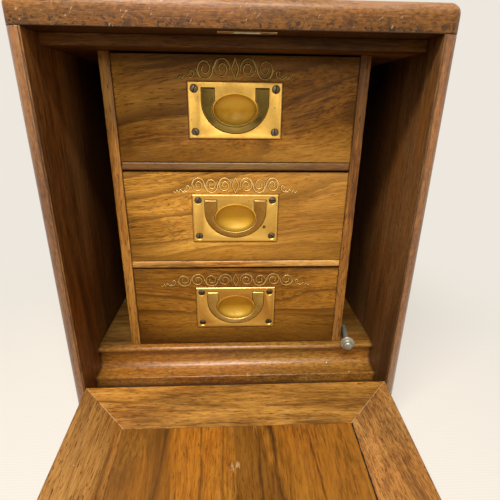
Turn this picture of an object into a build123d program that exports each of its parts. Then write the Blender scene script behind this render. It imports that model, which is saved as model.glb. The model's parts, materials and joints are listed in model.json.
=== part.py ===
"""Antique table cabinet for jewelry, standing open: a walnut-lined mahogany case with a fall front,
three drawers with flush brass handles and an open compartment on each side of them.

Millimetres. +X is the viewer's right, +Y runs from the front to the back, +Z is up.
The origin is the middle of the case's footprint, on the table.
The fall front is modelled lying open, with its far edge on the table. All drawers are shut.
"""
import os
from math import asin, atan2, cos, degrees, hypot, radians, sin

from build123d import *

# Allowances used all over the piece
past = 1.0
running_gap = 0.05
fillet_share = 0.9
screw_slot_width = 0.6
screw_slot_depth = 0.6

# Driving sizes of the case
case_width = 278.2
case_depth = 236.0
side_thick = 9.5
lining_thick = 1.5
side_corner_radius = 8.0
back_edge_radius = 1.5
back_thick = 7.0
base_height = 30.5
base_front_thick = 24.0
base_set_back = 2.8
base_board_thick = 10.0
top_thick = 18.0
top_edge_radius = 7.5
ceiling_thick = 7.5
floor_thick = 8.0
bearer_width = 12.0

# Driving sizes of the drawer stack
drawer_set_back = 41.5
compartment_width = 30.0
opening_height = 77.0
upright_thick = 8.0
shelf_thick = 6.5
drawer_count = 3
drawer_side_gap = 0.5
drawer_bottom_gap = 0.3
drawer_top_gap = 1.5
drawer_stop_gap = 0.5
drawer_front_thick = 12.0
drawer_wall_thick = 6.0
drawer_wall_height = 60.0
drawer_bottom_thick = 3.0
drawer_bottom_lift = 4.0
groove_depth = 2.5
tail_count = 3
tail_length = 8.0
tail_root_height = 8.0
tail_tip_height = 12.0

# Driving sizes of the moulding below the drawers
moulding_height = 32.5
moulding_tail = 8.0
bead_radius = 2.5
bead_shelf = 4.2
neck_set_back = 1.2
cove_radius = 7.0
ledge_drop = 21.5
ledge_edge_radius = 0.8

# Driving sizes of the fall front
flap_panel_thick = 17.3
flap_facing_thick = 3.0
flap_border_width = 41.0
flap_recess = 0.3
flap_stop_gap = 0.3
flap_side_gap = 0.5
flap_top_gap = 0.4
flap_bottom_gap = 0.3
flap_rest_gap = 0.05

# Driving sizes of the two hinges
hinge_set_back = 2.2
hinge_spacing = 164.0
hinge_width = 44.0
hinge_leaf_depth = 14.5
hinge_leaf_thick = 1.2
knuckle_radius = 2.1
knuckle_gap = 0.3
knuckle_pocket_gap = 0.3
hinge_pin_radius = 1.0
pin_head_thick = 0.5
hinge_screw_pitch = 15.0
hinge_screw_head = 2.1
hinge_screw_shank = 1.1
hinge_screw_length = 7.5

# Driving sizes of the lock in the fall front
lock_shift = 6.0
lock_plate_width = 56.0
lock_plate_height = 36.0
lock_plate_thick = 1.5
lock_box_width = 44.0
lock_box_height = 29.0
lock_box_depth = 12.5
lock_edge_depth = 14.5
bolt_width = 16.0
bolt_thick = 3.6
bolt_length = 20.0
bolt_gap = 0.15
bolt_bevel = 0.5
bolt_depth = 9.0
lock_screw_head = 2.2
lock_screw_shank = 1.2
lock_screw_length = 8.0
lock_screw_inset = 3.2
lock_screw_pitch = 23.0
keyhole_drop = 17.0
keyhole_radius = 2.2
keyhole_slot_width = 2.0
keyhole_slot_drop = 7.0
escutcheon_half_width = 8.0
escutcheon_half_height = 13.0
escutcheon_thick = 1.6
strike_width = 38.0
strike_depth = 7.0
strike_thick = 1.2
strike_slot_gap = 0.5
strike_pocket_depth = 9.0

# Driving sizes of the flush handles
handle_shift = -1.4
plate_width = 70.0
plate_height = 40.0
plate_thick = 1.6
plate_proud = 1.0
plate_bevel = 0.6
pan_side_margin = 7.0
pan_end_margin = 2.8
pan_depth = 8.2
pan_corner_radius = 3.0
bail_side_margin = 10.0
bail_thick = 3.0
bail_top_drop = 4.7
bail_bend_drop = 13.9
bail_bend_reach = 22.3
bail_leg_width = 9.8
bail_bend_width = 7.7
bail_inner_half_height = 12.5
bail_inner_drop = 19.0
bail_gap = 0.35
bail_edge_bevel = 0.5
bail_axis_drop = 7.1
bail_pivot_radius = 0.9
bail_pivot_length = 2.0
bowl_rim = 1.1
bowl_half_height = 11.0
bowl_drop = 19.3
bowl_depth = 6.5
plate_screw_inset = 4.8
plate_screw_head = 2.7
plate_screw_shank = 1.3
plate_screw_length = 9.0
plate_screw_sink = 0.4

# Driving sizes of the loose steel pin in the right compartment
pin_shaft_radius = 2.7
pin_shaft_length = 25.0
pin_tip_radius = 2.2
pin_tip_length = 4.0
pin_flange_radius = 6.35
pin_flange_thick = 1.8
pin_groove_depth = 0.5
pin_stud_radius = 3.75
pin_stud_length = 4.8
pin_stud_bevel = 0.7
pin_from_upright = 4.5
pin_turn = 8.0
pin_gap = 0.3

# Planes and levels shared by the pieces
front_y = -case_depth / 2
rear_y = case_depth / 2
back_y = rear_y - back_thick
drawer_y = front_y + drawer_set_back
lined_x = case_width / 2 - side_thick
inner_x = lined_x - lining_thick
opening_x = inner_x - compartment_width - upright_thick
base_top = base_height
base_front_y = front_y + base_set_back
base_rear_y = base_front_y + base_front_thick
floor_z = base_top + moulding_height
storey = opening_height + shelf_thick
ceiling_z = floor_z + drawer_count * storey - shelf_thick
case_top = ceiling_z + ceiling_thick

# The handle's parts keep their places from the plate's ends
pan_width = plate_width - 2 * pan_side_margin
pan_height = plate_height - 2 * pan_end_margin
bail_half_width = plate_width / 2 - bail_side_margin
bail_leg_inside = bail_half_width - bail_leg_width
bail_inner_half_width = bail_half_width - bail_bend_width
bowl_half_width = bail_inner_half_width - bowl_rim

# The fall front turns about the line of its hinge pins
flap_thick = flap_panel_thick + flap_facing_thick
stop_y = front_y + flap_recess + flap_thick + flap_stop_gap
hinge_y = front_y + hinge_set_back
hinge_z = base_top + flap_bottom_gap / 2
flap_outside = hinge_set_back - flap_recess
flap_back = flap_outside - flap_panel_thick
flap_inside = flap_outside - flap_thick
flap_start = flap_bottom_gap / 2
flap_end = case_top - flap_top_gap - hinge_z
flap_x = inner_x - flap_side_gap
flap_reach = hypot(flap_outside, flap_end)
flap_slope = degrees(asin((hinge_z - flap_rest_gap) / flap_reach) - atan2(flap_outside, flap_end))
flap_plane = Plane(
    origin=(0, hinge_y, hinge_z),
    x_dir=(1, 0, 0),
    z_dir=(0, sin(radians(flap_slope)), -cos(radians(flap_slope))),
)

os.makedirs("parts", exist_ok=True)


def save(piece, name):
    """Labels a finished piece and writes its file."""
    piece.part.label = name
    export_step(piece.part, f"parts/{name}.step")


def block(x, y, z, mode=Mode.ADD, plane=Plane.XY):
    """Adds or cuts a square-edged block between two values on each axis of the plane."""
    with BuildSketch(plane.offset(z[0])) as outline:
        with Locations(((x[0] + x[1]) / 2, (y[0] + y[1]) / 2)):
            Rectangle(x[1] - x[0], y[1] - y[0])
    extrude(outline.sketch, amount=z[1] - z[0], mode=mode)


def prism(points, plane, amount, mode=Mode.ADD):
    """Adds or cuts a straight-sided outline drawn on a plane and pulled along its normal."""
    with BuildSketch(plane) as outline:
        Polygon(*points, align=None)
    extrude(outline.sketch, amount=amount, mode=mode)


def rod(plane, radius, start, end, mode=Mode.ADD):
    """Adds or cuts a round bar along the plane's normal, between two heights."""
    with BuildSketch(plane.offset(start)) as outline:
        Circle(radius)
    extrude(outline.sketch, amount=end - start, mode=mode)


def screw(plane, head, shank, length, grow=0.0, mode=Mode.ADD):
    """Adds or cuts a countersunk screw whose head lies in the plane, with its shank below."""
    with BuildSketch(plane) as top:
        Circle(head + grow)
    with BuildSketch(plane.offset(shank - head)) as neck:
        Circle(shank + grow)
    loft([top.sketch.face(), neck.sketch.face()], mode=mode)
    rod(plane, shank + grow, -length - grow, shank - head, mode=mode)


def screw_slot(plane, head):
    """Cuts the driver slot across a screw's head."""
    half = screw_slot_width / 2
    block((-head - past, head + past), (-half, half), (-screw_slot_depth, past), Mode.SUBTRACT, plane)


def shank_holes(places, shank, length):
    """Cuts plain holes for screw shanks, a little wider and deeper than the shanks."""
    for place in places:
        rod(place, shank + running_gap, -length - running_gap, past, mode=Mode.SUBTRACT)


def spot(plane, x, y, height=0.0):
    """The plane moved to a place in itself and raised by a height."""
    return Plane(origin=plane.from_local_coords((x, y, height)), x_dir=plane.x_dir, z_dir=plane.z_dir)


# Case: two sides, their walnut linings, back, base and top
hinge_places = (-hinge_spacing / 2, hinge_spacing / 2)
for name, hand in (("left", -1), ("right", 1)):
    with BuildPart() as side:
        block(sorted((hand * lined_x, hand * case_width / 2)), (front_y, rear_y), (0, case_top))
        outer = side.edges().filter_by(Axis.Z).group_by(Axis.X)[0 if hand < 0 else -1]
        fillet(outer.sort_by(Axis.Y)[0], radius=min(side_corner_radius, fillet_share * side_thick))
        corner = side.edges().filter_by(Axis.Z).group_by(Axis.X)[0 if hand < 0 else -1]
        fillet(corner.sort_by(Axis.Y)[-1], radius=back_edge_radius)
    save(side, f"{name}_side")
    with BuildPart() as lining:
        span = sorted((hand * inner_x, hand * lined_x))
        block(span, (front_y, back_y), (base_top, case_top))
        block(span, (base_rear_y, back_y), (base_board_thick, base_top))
    save(lining, f"{name}_lining")

with BuildPart() as back_panel:
    block((-lined_x, lined_x), (back_y, rear_y), (0, case_top))
save(back_panel, "back_panel")

leaf_face = flap_bottom_gap / 2
pocket_reach = knuckle_radius + knuckle_pocket_gap


def hinge_screw_planes(plane, x):
    """Where the three screws of one leaf sit, on the leaf's open face."""
    across = (pocket_reach + hinge_leaf_depth) / 2
    return [spot(plane, x + i * hinge_screw_pitch, across) for i in (-1, 0, 1)]


case_leaf_plane = Plane(origin=(0, hinge_y, hinge_z - leaf_face), x_dir=(1, 0, 0), z_dir=(0, 0, 1))
flap_leaf_plane = Plane(
    origin=flap_plane.from_local_coords((0, leaf_face, 0)),
    x_dir=(-1, 0, 0),
    z_dir=-flap_plane.y_dir,
)

with BuildPart() as base_front:
    block((-lined_x, lined_x), (base_front_y, base_rear_y), (0, base_top))
    for x in hinge_places:
        reach = (x - hinge_width / 2, x + hinge_width / 2)
        block(
            reach,
            (base_front_y - past, hinge_y + hinge_leaf_depth),
            (hinge_z - leaf_face - hinge_leaf_thick, base_top + past),
            mode=Mode.SUBTRACT,
        )
        block(
            (reach[0] - knuckle_pocket_gap, reach[1] + knuckle_pocket_gap),
            (base_front_y - past, hinge_y + pocket_reach),
            (hinge_z - pocket_reach, base_top + past),
            mode=Mode.SUBTRACT,
        )
        shank_holes(hinge_screw_planes(case_leaf_plane, x), hinge_screw_shank, hinge_screw_length)
save(base_front, "base_front")

with BuildPart() as base_board:
    block((-lined_x, lined_x), (base_rear_y, back_y), (0, base_board_thick))
save(base_board, "base_board")

strike_y = hinge_y + bolt_depth
with BuildPart() as top_board:
    block((-case_width / 2, case_width / 2), (front_y, rear_y), (case_top, case_top + top_thick))
    fillet(top_board.edges().filter_by(Axis.Z), radius=side_corner_radius)
    upper_edges = top_board.faces().sort_by(Axis.Z)[-1].edges()
    fillet(upper_edges, radius=min(top_edge_radius, fillet_share * side_corner_radius))
    block(
        (lock_shift - strike_width / 2, lock_shift + strike_width / 2),
        (strike_y - strike_depth / 2, strike_y + strike_depth / 2),
        (case_top - past, case_top + strike_thick),
        mode=Mode.SUBTRACT,
    )
    block(
        (lock_shift - bolt_width / 2 - strike_slot_gap, lock_shift + bolt_width / 2 + strike_slot_gap),
        (strike_y - bolt_thick / 2 - strike_slot_gap, strike_y + bolt_thick / 2 + strike_slot_gap),
        (case_top, case_top + strike_pocket_depth),
        mode=Mode.SUBTRACT,
    )
save(top_board, "top_board")

with BuildPart() as strike_plate:
    block(
        (lock_shift - strike_width / 2, lock_shift + strike_width / 2),
        (strike_y - strike_depth / 2, strike_y + strike_depth / 2),
        (case_top, case_top + strike_thick),
    )
    block(
        (lock_shift - bolt_width / 2 - strike_slot_gap, lock_shift + bolt_width / 2 + strike_slot_gap),
        (strike_y - bolt_thick / 2 - strike_slot_gap, strike_y + bolt_thick / 2 + strike_slot_gap),
        (case_top - past, case_top + strike_thick + past),
        mode=Mode.SUBTRACT,
    )
save(strike_plate, "strike_plate")

# Inside of the case: ceiling, raised floor, its bearers and the moulding in front of it
with BuildPart() as ceiling_board:
    block((-inner_x, inner_x), (stop_y, back_y), (ceiling_z, case_top))
save(ceiling_board, "ceiling_board")

with BuildPart() as floor_board:
    block((-inner_x, inner_x), (drawer_y, back_y), (floor_z - floor_thick, floor_z))
save(floor_board, "floor_board")

with BuildPart() as floor_bearers:
    for hand in (-1, 1):
        block(
            sorted((hand * inner_x, hand * (inner_x - bearer_width))),
            (drawer_y + moulding_tail, back_y),
            (base_board_thick, floor_z - floor_thick),
        )
save(floor_bearers, "floor_bearers")

bead_y = drawer_y - bead_shelf
neck_y = bead_y + neck_set_back
ledge_z = floor_z - ledge_drop
tail_y = drawer_y + moulding_tail
with BuildPart() as base_moulding:
    with BuildSketch(Plane.YZ.offset(-inner_x)) as section:
        with BuildLine():
            Line((drawer_y, floor_z), (bead_y, floor_z))
            ThreePointArc(
                (bead_y, floor_z),
                (bead_y - bead_radius, floor_z - bead_radius),
                (bead_y, floor_z - 2 * bead_radius),
            )
            Line((bead_y, floor_z - 2 * bead_radius), (neck_y, floor_z - 2 * bead_radius))
            Line((neck_y, floor_z - 2 * bead_radius), (neck_y, ledge_z + cove_radius))
            RadiusArc((neck_y, ledge_z + cove_radius), (neck_y - cove_radius, ledge_z), cove_radius)
            Polyline(
                (neck_y - cove_radius, ledge_z),
                (stop_y, ledge_z),
                (stop_y, base_top),
                (tail_y, base_top),
                (tail_y, floor_z - floor_thick),
                (drawer_y, floor_z - floor_thick),
                (drawer_y, floor_z),
            )
        make_face()
    extrude(amount=2 * inner_x)
    arris = base_moulding.edges().filter_by(Axis.X).group_by(Axis.Y)[0].sort_by(Axis.Z)[-1]
    fillet(arris, radius=ledge_edge_radius)
save(base_moulding, "base_moulding")

# Drawer case: two uprights with two shelves between them
for name, hand in (("left", -1), ("right", 1)):
    with BuildPart() as upright:
        block(
            sorted((hand * opening_x, hand * (opening_x + upright_thick))),
            (drawer_y, back_y),
            (floor_z, ceiling_z),
        )
    save(upright, f"{name}_upright")

for level, name in enumerate(("lower", "upper"), start=1):
    with BuildPart() as shelf:
        shelf_top = floor_z + level * storey
        block((-opening_x, opening_x), (drawer_y, back_y), (shelf_top - shelf_thick, shelf_top))
    save(shelf, f"shelf_{name}")

# Drawers: front with lapped dovetails, two walls, back and bottom
drawer_x = opening_x - drawer_side_gap
wall_x = drawer_x - drawer_wall_thick
drawer_rear_y = back_y - drawer_stop_gap
front_height = opening_height - drawer_bottom_gap - drawer_top_gap
front_rear_y = drawer_y + drawer_front_thick
screw_places = [
    (i * (plate_width / 2 - plate_screw_inset), j * (plate_height / 2 - plate_screw_inset))
    for i in (-1, 1)
    for j in (-1, 1)
]


def tails(x, base_z, mode):
    """Adds or cuts the dovetails that one drawer wall sends into the back of the drawer front."""
    start = drawer_bottom_lift + drawer_bottom_thick
    pitch = (drawer_wall_height - start) / tail_count
    root = tail_root_height / 2
    tip = tail_tip_height / 2
    for i in range(tail_count):
        middle = base_z + start + (i + 1 / 2) * pitch
        points = (
            (front_rear_y, middle - root),
            (front_rear_y - tail_length, middle - tip),
            (front_rear_y - tail_length, middle + tip),
            (front_rear_y, middle + root),
        )
        prism(points, Plane.YZ.offset(x[0]), x[1] - x[0], mode=mode)


def bail_outline(plane, grow, rise=0.0):
    """The handle's flat horseshoe, grown all round by a gap and lengthened at the top by a rise."""
    bend = plate_height / 2 - bail_bend_drop
    top = plate_height / 2 - bail_top_drop + grow + rise
    with BuildSketch(plane) as outline:
        with Locations((0, bend)):
            Ellipse(bail_half_width + grow, bail_bend_reach + grow)
        with Locations((0, bend + plate_height / 2)):
            Rectangle(2 * plate_width, plate_height, mode=Mode.SUBTRACT)
        with Locations((0, (bend + top) / 2)):
            Rectangle(2 * (bail_half_width + grow), top - bend)
        with Locations((0, bend + plate_height / 2)):
            Rectangle(2 * (bail_leg_inside - grow), plate_height, mode=Mode.SUBTRACT)
        with Locations((0, plate_height / 2 - bail_inner_drop)):
            Ellipse(bail_inner_half_width - grow, bail_inner_half_height - grow, mode=Mode.SUBTRACT)
    return outline.sketch


bail_axis_v = plate_height / 2 - bail_axis_drop
bail_axis_n = plate_proud - bail_thick / 2
leg_top = bail_axis_drop - bail_top_drop
swing = hypot(leg_top, bail_thick / 2) + bail_gap
for number in range(1, drawer_count + 1):
    base_z = floor_z + (drawer_count - number) * storey + drawer_bottom_gap
    bottom_z = (base_z + drawer_bottom_lift, base_z + drawer_bottom_lift + drawer_bottom_thick)
    handle_plane = Plane(
        origin=(handle_shift, drawer_y, base_z + front_height / 2),
        x_dir=(1, 0, 0),
        z_dir=(0, -1, 0),
    )
    face_plane = handle_plane.offset(plate_proud)
    pivot_plane = Plane(
        origin=handle_plane.from_local_coords((0, bail_axis_v, bail_axis_n)),
        x_dir=(0, 1, 0),
        z_dir=(1, 0, 0),
    )

    with BuildPart() as drawer_front:
        block((-drawer_x, drawer_x), (drawer_y, front_rear_y), (base_z, base_z + front_height))
        for hand in (-1, 1):
            tails(sorted((hand * wall_x, hand * drawer_x)), base_z, Mode.SUBTRACT)
        block(
            (-wall_x - groove_depth, wall_x + groove_depth),
            (front_rear_y - groove_depth, front_rear_y + past),
            bottom_z,
            mode=Mode.SUBTRACT,
        )
        block(
            (-plate_width / 2, plate_width / 2),
            (-plate_height / 2, plate_height / 2),
            (plate_proud - plate_thick, past),
            mode=Mode.SUBTRACT,
            plane=handle_plane,
        )
        with BuildSketch(handle_plane.offset(plate_proud - pan_depth)) as pan:
            RectangleRounded(pan_width, pan_height, pan_corner_radius)
        extrude(pan.sketch, amount=pan_depth, mode=Mode.SUBTRACT)
        for u, v in screw_places:
            screw(
                spot(face_plane, u, v),
                plate_screw_head + plate_screw_sink,
                plate_screw_shank,
                plate_screw_sink + plate_screw_length,
                grow=running_gap,
                mode=Mode.SUBTRACT,
            )
    save(drawer_front, f"drawer_{number}_front")

    for name, hand in (("left", -1), ("right", 1)):
        with BuildPart() as wall:
            span = sorted((hand * wall_x, hand * drawer_x))
            block(span, (front_rear_y, drawer_rear_y), (base_z, base_z + drawer_wall_height))
            tails(span, base_z, Mode.ADD)
            block(
                sorted((hand * (wall_x - past), hand * (wall_x + groove_depth))),
                (front_rear_y - past, drawer_rear_y + past),
                bottom_z,
                mode=Mode.SUBTRACT,
            )
        save(wall, f"drawer_{number}_{name}")

    with BuildPart() as drawer_back:
        block(
            (-wall_x, wall_x),
            (drawer_rear_y - drawer_wall_thick, drawer_rear_y),
            (bottom_z[1], base_z + drawer_wall_height),
        )
    save(drawer_back, f"drawer_{number}_back")

    with BuildPart() as drawer_bottom:
        block(
            (-wall_x - groove_depth, wall_x + groove_depth),
            (front_rear_y - groove_depth, drawer_rear_y),
            bottom_z,
        )
    save(drawer_bottom, f"drawer_{number}_bottom")

    with BuildPart() as handle_plate:
        block(
            (-plate_width / 2, plate_width / 2),
            (-plate_height / 2, plate_height / 2),
            (plate_proud - plate_thick, plate_proud),
            plane=handle_plane,
        )
        chamfer(handle_plate.faces().sort_by(Axis.Y)[0].edges(), length=plate_bevel)
        with BuildSketch(handle_plane.offset(plate_proud - pan_depth)) as pan:
            RectangleRounded(pan_width, pan_height, pan_corner_radius)
        extrude(pan.sketch, amount=pan_depth - plate_bevel)
        extrude(
            bail_outline(handle_plane.offset(plate_proud - bail_thick - bail_gap), bail_gap),
            amount=bail_thick + bail_gap + past,
            mode=Mode.SUBTRACT,
        )
        for hand in (-1, 1):
            block(
                sorted((hand * (bail_leg_inside - bail_gap), hand * (bail_half_width + bail_gap))),
                (bail_axis_v - bail_thick / 2 - bail_gap, bail_axis_v + swing),
                (bail_axis_n - swing, plate_proud + past),
                mode=Mode.SUBTRACT,
                plane=handle_plane,
            )
            rod(
                pivot_plane,
                bail_pivot_radius + running_gap,
                hand * bail_leg_inside,
                hand * (bail_half_width + bail_pivot_length + bail_gap),
                mode=Mode.SUBTRACT,
            )
        ball = Sphere(1, mode=Mode.PRIVATE)
        bowl = scale(ball, by=(bowl_half_width, bowl_half_height, bowl_depth), mode=Mode.PRIVATE)
        add(spot(face_plane, 0, plate_height / 2 - bowl_drop).location * bowl, mode=Mode.SUBTRACT)
        for u, v in screw_places:
            screw(
                spot(face_plane, u, v),
                plate_screw_head + plate_screw_sink,
                plate_screw_shank,
                pan_depth,
                grow=running_gap,
                mode=Mode.SUBTRACT,
            )
    save(handle_plate, f"handle_{number}_plate")

    with BuildPart() as bail:
        extrude(bail_outline(handle_plane.offset(plate_proud - bail_thick), 0.0), amount=bail_thick)
        chamfer(bail.faces().sort_by(Axis.Y)[0].outer_wire().edges(), length=bail_edge_bevel)
        for hand in (-1, 1):
            pivot_root = hand * (bail_half_width - past)
            rod(pivot_plane, bail_pivot_radius, pivot_root, hand * (bail_half_width + bail_pivot_length))
    save(bail, f"handle_{number}_bail")

    with BuildPart() as handle_screws:
        heads = [spot(face_plane, u, v, -plate_screw_sink) for u, v in screw_places]
        for head in heads:
            screw(head, plate_screw_head, plate_screw_shank, plate_screw_length)
        for head in heads:
            screw_slot(head, plate_screw_head)
    save(handle_screws, f"handle_{number}_screws")

# Fall front: mahogany panel behind a walnut field with four mitred border strips
lock_box_n = (flap_inside, flap_inside + lock_box_depth)
lock_box_s = (flap_end - lock_box_height, flap_end)
lock_plate_s = (flap_end - lock_plate_height, flap_end)
lock_edge_n = (flap_inside, flap_inside + lock_edge_depth)
keyhole_s = flap_end - keyhole_drop
escutcheon_plane = spot(flap_plane, lock_shift, keyhole_s, flap_outside - escutcheon_thick)


def lock_space(mode):
    """Cuts from the fall front, or adds to the lock, the lock's face plate, box and edge plate."""
    block(
        (lock_shift - lock_plate_width / 2, lock_shift + lock_plate_width / 2),
        lock_plate_s,
        (flap_inside, flap_inside + lock_plate_thick),
        mode=mode,
        plane=flap_plane,
    )
    block(
        (lock_shift - lock_box_width / 2, lock_shift + lock_box_width / 2),
        lock_box_s,
        lock_box_n,
        mode=mode,
        plane=flap_plane,
    )
    block(
        (lock_shift - lock_plate_width / 2, lock_shift + lock_plate_width / 2),
        (flap_end - lock_plate_thick, flap_end),
        lock_edge_n,
        mode=mode,
        plane=flap_plane,
    )


def keyhole(start, end):
    """Cuts the round and the slot of the keyhole through whatever lies between two depths."""
    rod(spot(flap_plane, lock_shift, keyhole_s), keyhole_radius, start, end, mode=Mode.SUBTRACT)
    block(
        (lock_shift - keyhole_slot_width / 2, lock_shift + keyhole_slot_width / 2),
        (keyhole_s - keyhole_slot_drop, keyhole_s),
        (start, end),
        mode=Mode.SUBTRACT,
        plane=flap_plane,
    )


lock_screw_planes = []
for i in (-1, 1):
    for j in (0, 1):
        along = lock_plate_s[0] + lock_screw_inset + j * lock_screw_pitch
        seat = Plane(
            origin=flap_plane.from_local_coords(
                (lock_shift + i * (lock_plate_width / 2 - lock_screw_inset), along, flap_inside)
            ),
            x_dir=(1, 0, 0),
            z_dir=-flap_plane.z_dir,
        )
        lock_screw_planes.append(seat)


with BuildPart() as flap_panel:
    block((-flap_x, flap_x), (flap_start, flap_end), (flap_back, flap_outside), plane=flap_plane)
    for x in hinge_places:
        reach = (x - hinge_width / 2, x + hinge_width / 2)
        block(
            reach,
            (flap_start - past, leaf_face + hinge_leaf_thick),
            (-hinge_leaf_depth, flap_outside + past),
            mode=Mode.SUBTRACT,
            plane=flap_plane,
        )
        block(
            (reach[0] - knuckle_pocket_gap, reach[1] + knuckle_pocket_gap),
            (flap_start - past, pocket_reach),
            (-pocket_reach, flap_outside + past),
            mode=Mode.SUBTRACT,
            plane=flap_plane,
        )
        shank_holes(hinge_screw_planes(flap_leaf_plane, x), hinge_screw_shank, hinge_screw_length)
    lock_space(Mode.SUBTRACT)
    shank_holes(lock_screw_planes, lock_screw_shank, lock_screw_length)
    keyhole(flap_inside, flap_outside + past)
    with BuildSketch(escutcheon_plane) as seat:
        Ellipse(escutcheon_half_width, escutcheon_half_height)
    extrude(seat.sketch, amount=escutcheon_thick, mode=Mode.SUBTRACT)
save(flap_panel, "flap_panel")

inside_x = flap_x - flap_border_width
inside_start = flap_start + flap_border_width
inside_end = flap_end - flap_border_width
facing_plane = flap_plane.offset(flap_inside)
outer_corners = ((-flap_x, flap_start), (flap_x, flap_start), (flap_x, flap_end), (-flap_x, flap_end))
inner_corners = (
    (-inside_x, inside_start),
    (inside_x, inside_start),
    (inside_x, inside_end),
    (-inside_x, inside_end),
)
for i, name in enumerate(("hinge", "right", "lock", "left")):
    j = (i + 1) % len(outer_corners)
    with BuildPart() as border:
        outline = (outer_corners[i], outer_corners[j], inner_corners[j], inner_corners[i])
        prism(outline, facing_plane, flap_facing_thick)
        if name == "lock":
            lock_space(Mode.SUBTRACT)
            shank_holes(lock_screw_planes, lock_screw_shank, lock_screw_length)
    save(border, f"flap_border_{name}")

with BuildPart() as flap_field:
    block((-inside_x, inside_x), (inside_start, inside_end), (flap_inside, flap_back), plane=flap_plane)
save(flap_field, "flap_field")

# Lock: case with face and edge plates, sliding bolt, screws and the outside escutcheon
bolt_n = (-bolt_depth - bolt_thick / 2, -bolt_depth + bolt_thick / 2)
bolt_s = (flap_end - bolt_length, flap_end)
with BuildPart() as lock_case:
    lock_space(Mode.ADD)
    block(
        (lock_shift - bolt_width / 2 - bolt_gap, lock_shift + bolt_width / 2 + bolt_gap),
        (bolt_s[0] - bolt_gap, bolt_s[1] + past),
        (bolt_n[0] - bolt_gap, bolt_n[1] + bolt_gap),
        mode=Mode.SUBTRACT,
        plane=flap_plane,
    )
    for seat in lock_screw_planes:
        screw(seat, lock_screw_head, lock_screw_shank, lock_screw_length, running_gap, Mode.SUBTRACT)
save(lock_case, "lock_case")

with BuildPart() as lock_bolt:
    block((lock_shift - bolt_width / 2, lock_shift + bolt_width / 2), bolt_s, bolt_n, plane=flap_plane)
    chamfer(lock_bolt.faces().sort_by(Axis.Y)[0].edges(), length=bolt_bevel)
save(lock_bolt, "lock_bolt")

with BuildPart() as lock_screws:
    for seat in lock_screw_planes:
        screw(seat, lock_screw_head, lock_screw_shank, lock_screw_length)
    for seat in lock_screw_planes:
        screw_slot(seat, lock_screw_head)
save(lock_screws, "lock_screws")

with BuildPart() as escutcheon:
    with BuildSketch(escutcheon_plane) as rim:
        Ellipse(escutcheon_half_width, escutcheon_half_height)
    extrude(rim.sketch, amount=escutcheon_thick)
    keyhole(flap_outside - escutcheon_thick, flap_outside + past)
save(escutcheon, "escutcheon")

# Hinges: leaves let into the base and the fall front, with one pin in each pair of leaves
third = hinge_width / 3
inner_end = (third - knuckle_gap) / 2
outer_start = (third + knuckle_gap) / 2
case_knuckles = ((-hinge_width / 2, -outer_start), (outer_start, hinge_width / 2))
flap_knuckles = ((-inner_end, inner_end),)


def leaves(plane, knuckles, pin_plane):
    """Both hinges' leaves of one kind: a flat plate, its knuckles and the holes in them.
    The plane lies in the leaf's open face, with its y axis running from the pin over the plate."""
    for x in hinge_places:
        block(
            (x - hinge_width / 2, x + hinge_width / 2),
            (pocket_reach, hinge_leaf_depth),
            (-hinge_leaf_thick, 0),
            plane=plane,
        )
        for start, end in knuckles:
            block((x + start, x + end), (0, pocket_reach), (-hinge_leaf_thick, 0), plane=plane)
            rod(pin_plane, knuckle_radius, x + start, x + end)
    for x in hinge_places:
        rod(pin_plane, hinge_pin_radius + running_gap, x - hinge_width, x + hinge_width, mode=Mode.SUBTRACT)
        for place in hinge_screw_planes(plane, x):
            screw(place, hinge_screw_head, hinge_screw_shank, hinge_screw_length, running_gap, Mode.SUBTRACT)


pin_plane = Plane(origin=(0, hinge_y, hinge_z), x_dir=(0, 1, 0), z_dir=(1, 0, 0))
with BuildPart() as hinge_case_leaves:
    leaves(case_leaf_plane, case_knuckles, pin_plane)
save(hinge_case_leaves, "hinge_case_leaves")

with BuildPart() as hinge_flap_leaves:
    leaves(flap_leaf_plane, flap_knuckles, pin_plane)
save(hinge_flap_leaves, "hinge_flap_leaves")

with BuildPart() as hinge_pins:
    for x in hinge_places:
        rod(pin_plane, hinge_pin_radius, x - hinge_width / 2, x + hinge_width / 2)
        for hand in (-1, 1):
            rod(
                pin_plane,
                hinge_pin_radius + pin_head_thick,
                x + hand * hinge_width / 2,
                x + hand * (hinge_width / 2 + knuckle_pocket_gap / 2),
            )
save(hinge_pins, "hinge_pins")

for name, plane in (("case", case_leaf_plane), ("flap", flap_leaf_plane)):
    with BuildPart() as hinge_screws:
        places = [place for x in hinge_places for place in hinge_screw_planes(plane, x)]
        for place in places:
            screw(place, hinge_screw_head, hinge_screw_shank, hinge_screw_length)
        for place in places:
            screw_slot(place, hinge_screw_head)
    save(hinge_screws, f"hinge_{name}_screws")

# Loose steel pin, lying askew on the floor of the right compartment with its flange over the bead
flange_reach = pin_flange_radius * sin(radians(pin_turn)) + pin_gap
pin_seat = Plane(
    origin=(
        opening_x + upright_thick + pin_from_upright,
        bead_y - bead_radius - flange_reach,
        floor_z + pin_shaft_radius + running_gap,
    ),
    x_dir=(cos(radians(pin_turn)), -sin(radians(pin_turn)), 0),
    z_dir=(-sin(radians(pin_turn)), -cos(radians(pin_turn)), 0),
)
with BuildPart() as loose_pin:
    rod(pin_seat, pin_tip_radius, -pin_shaft_length - pin_tip_length, -pin_shaft_length)
    rod(pin_seat, pin_shaft_radius, -pin_shaft_length, 0)
    rod(pin_seat, pin_flange_radius, 0, pin_flange_thick / 3)
    rod(pin_seat, pin_flange_radius - pin_groove_depth, pin_flange_thick / 3, 2 * pin_flange_thick / 3)
    rod(pin_seat, pin_flange_radius, 2 * pin_flange_thick / 3, pin_flange_thick)
    rod(pin_seat, pin_stud_radius, pin_flange_thick, pin_flange_thick + pin_stud_length)
    chamfer(loose_pin.faces().sort_by(Axis.Y)[0].edges(), length=pin_stud_bevel)
save(loose_pin, "loose_pin")

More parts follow.
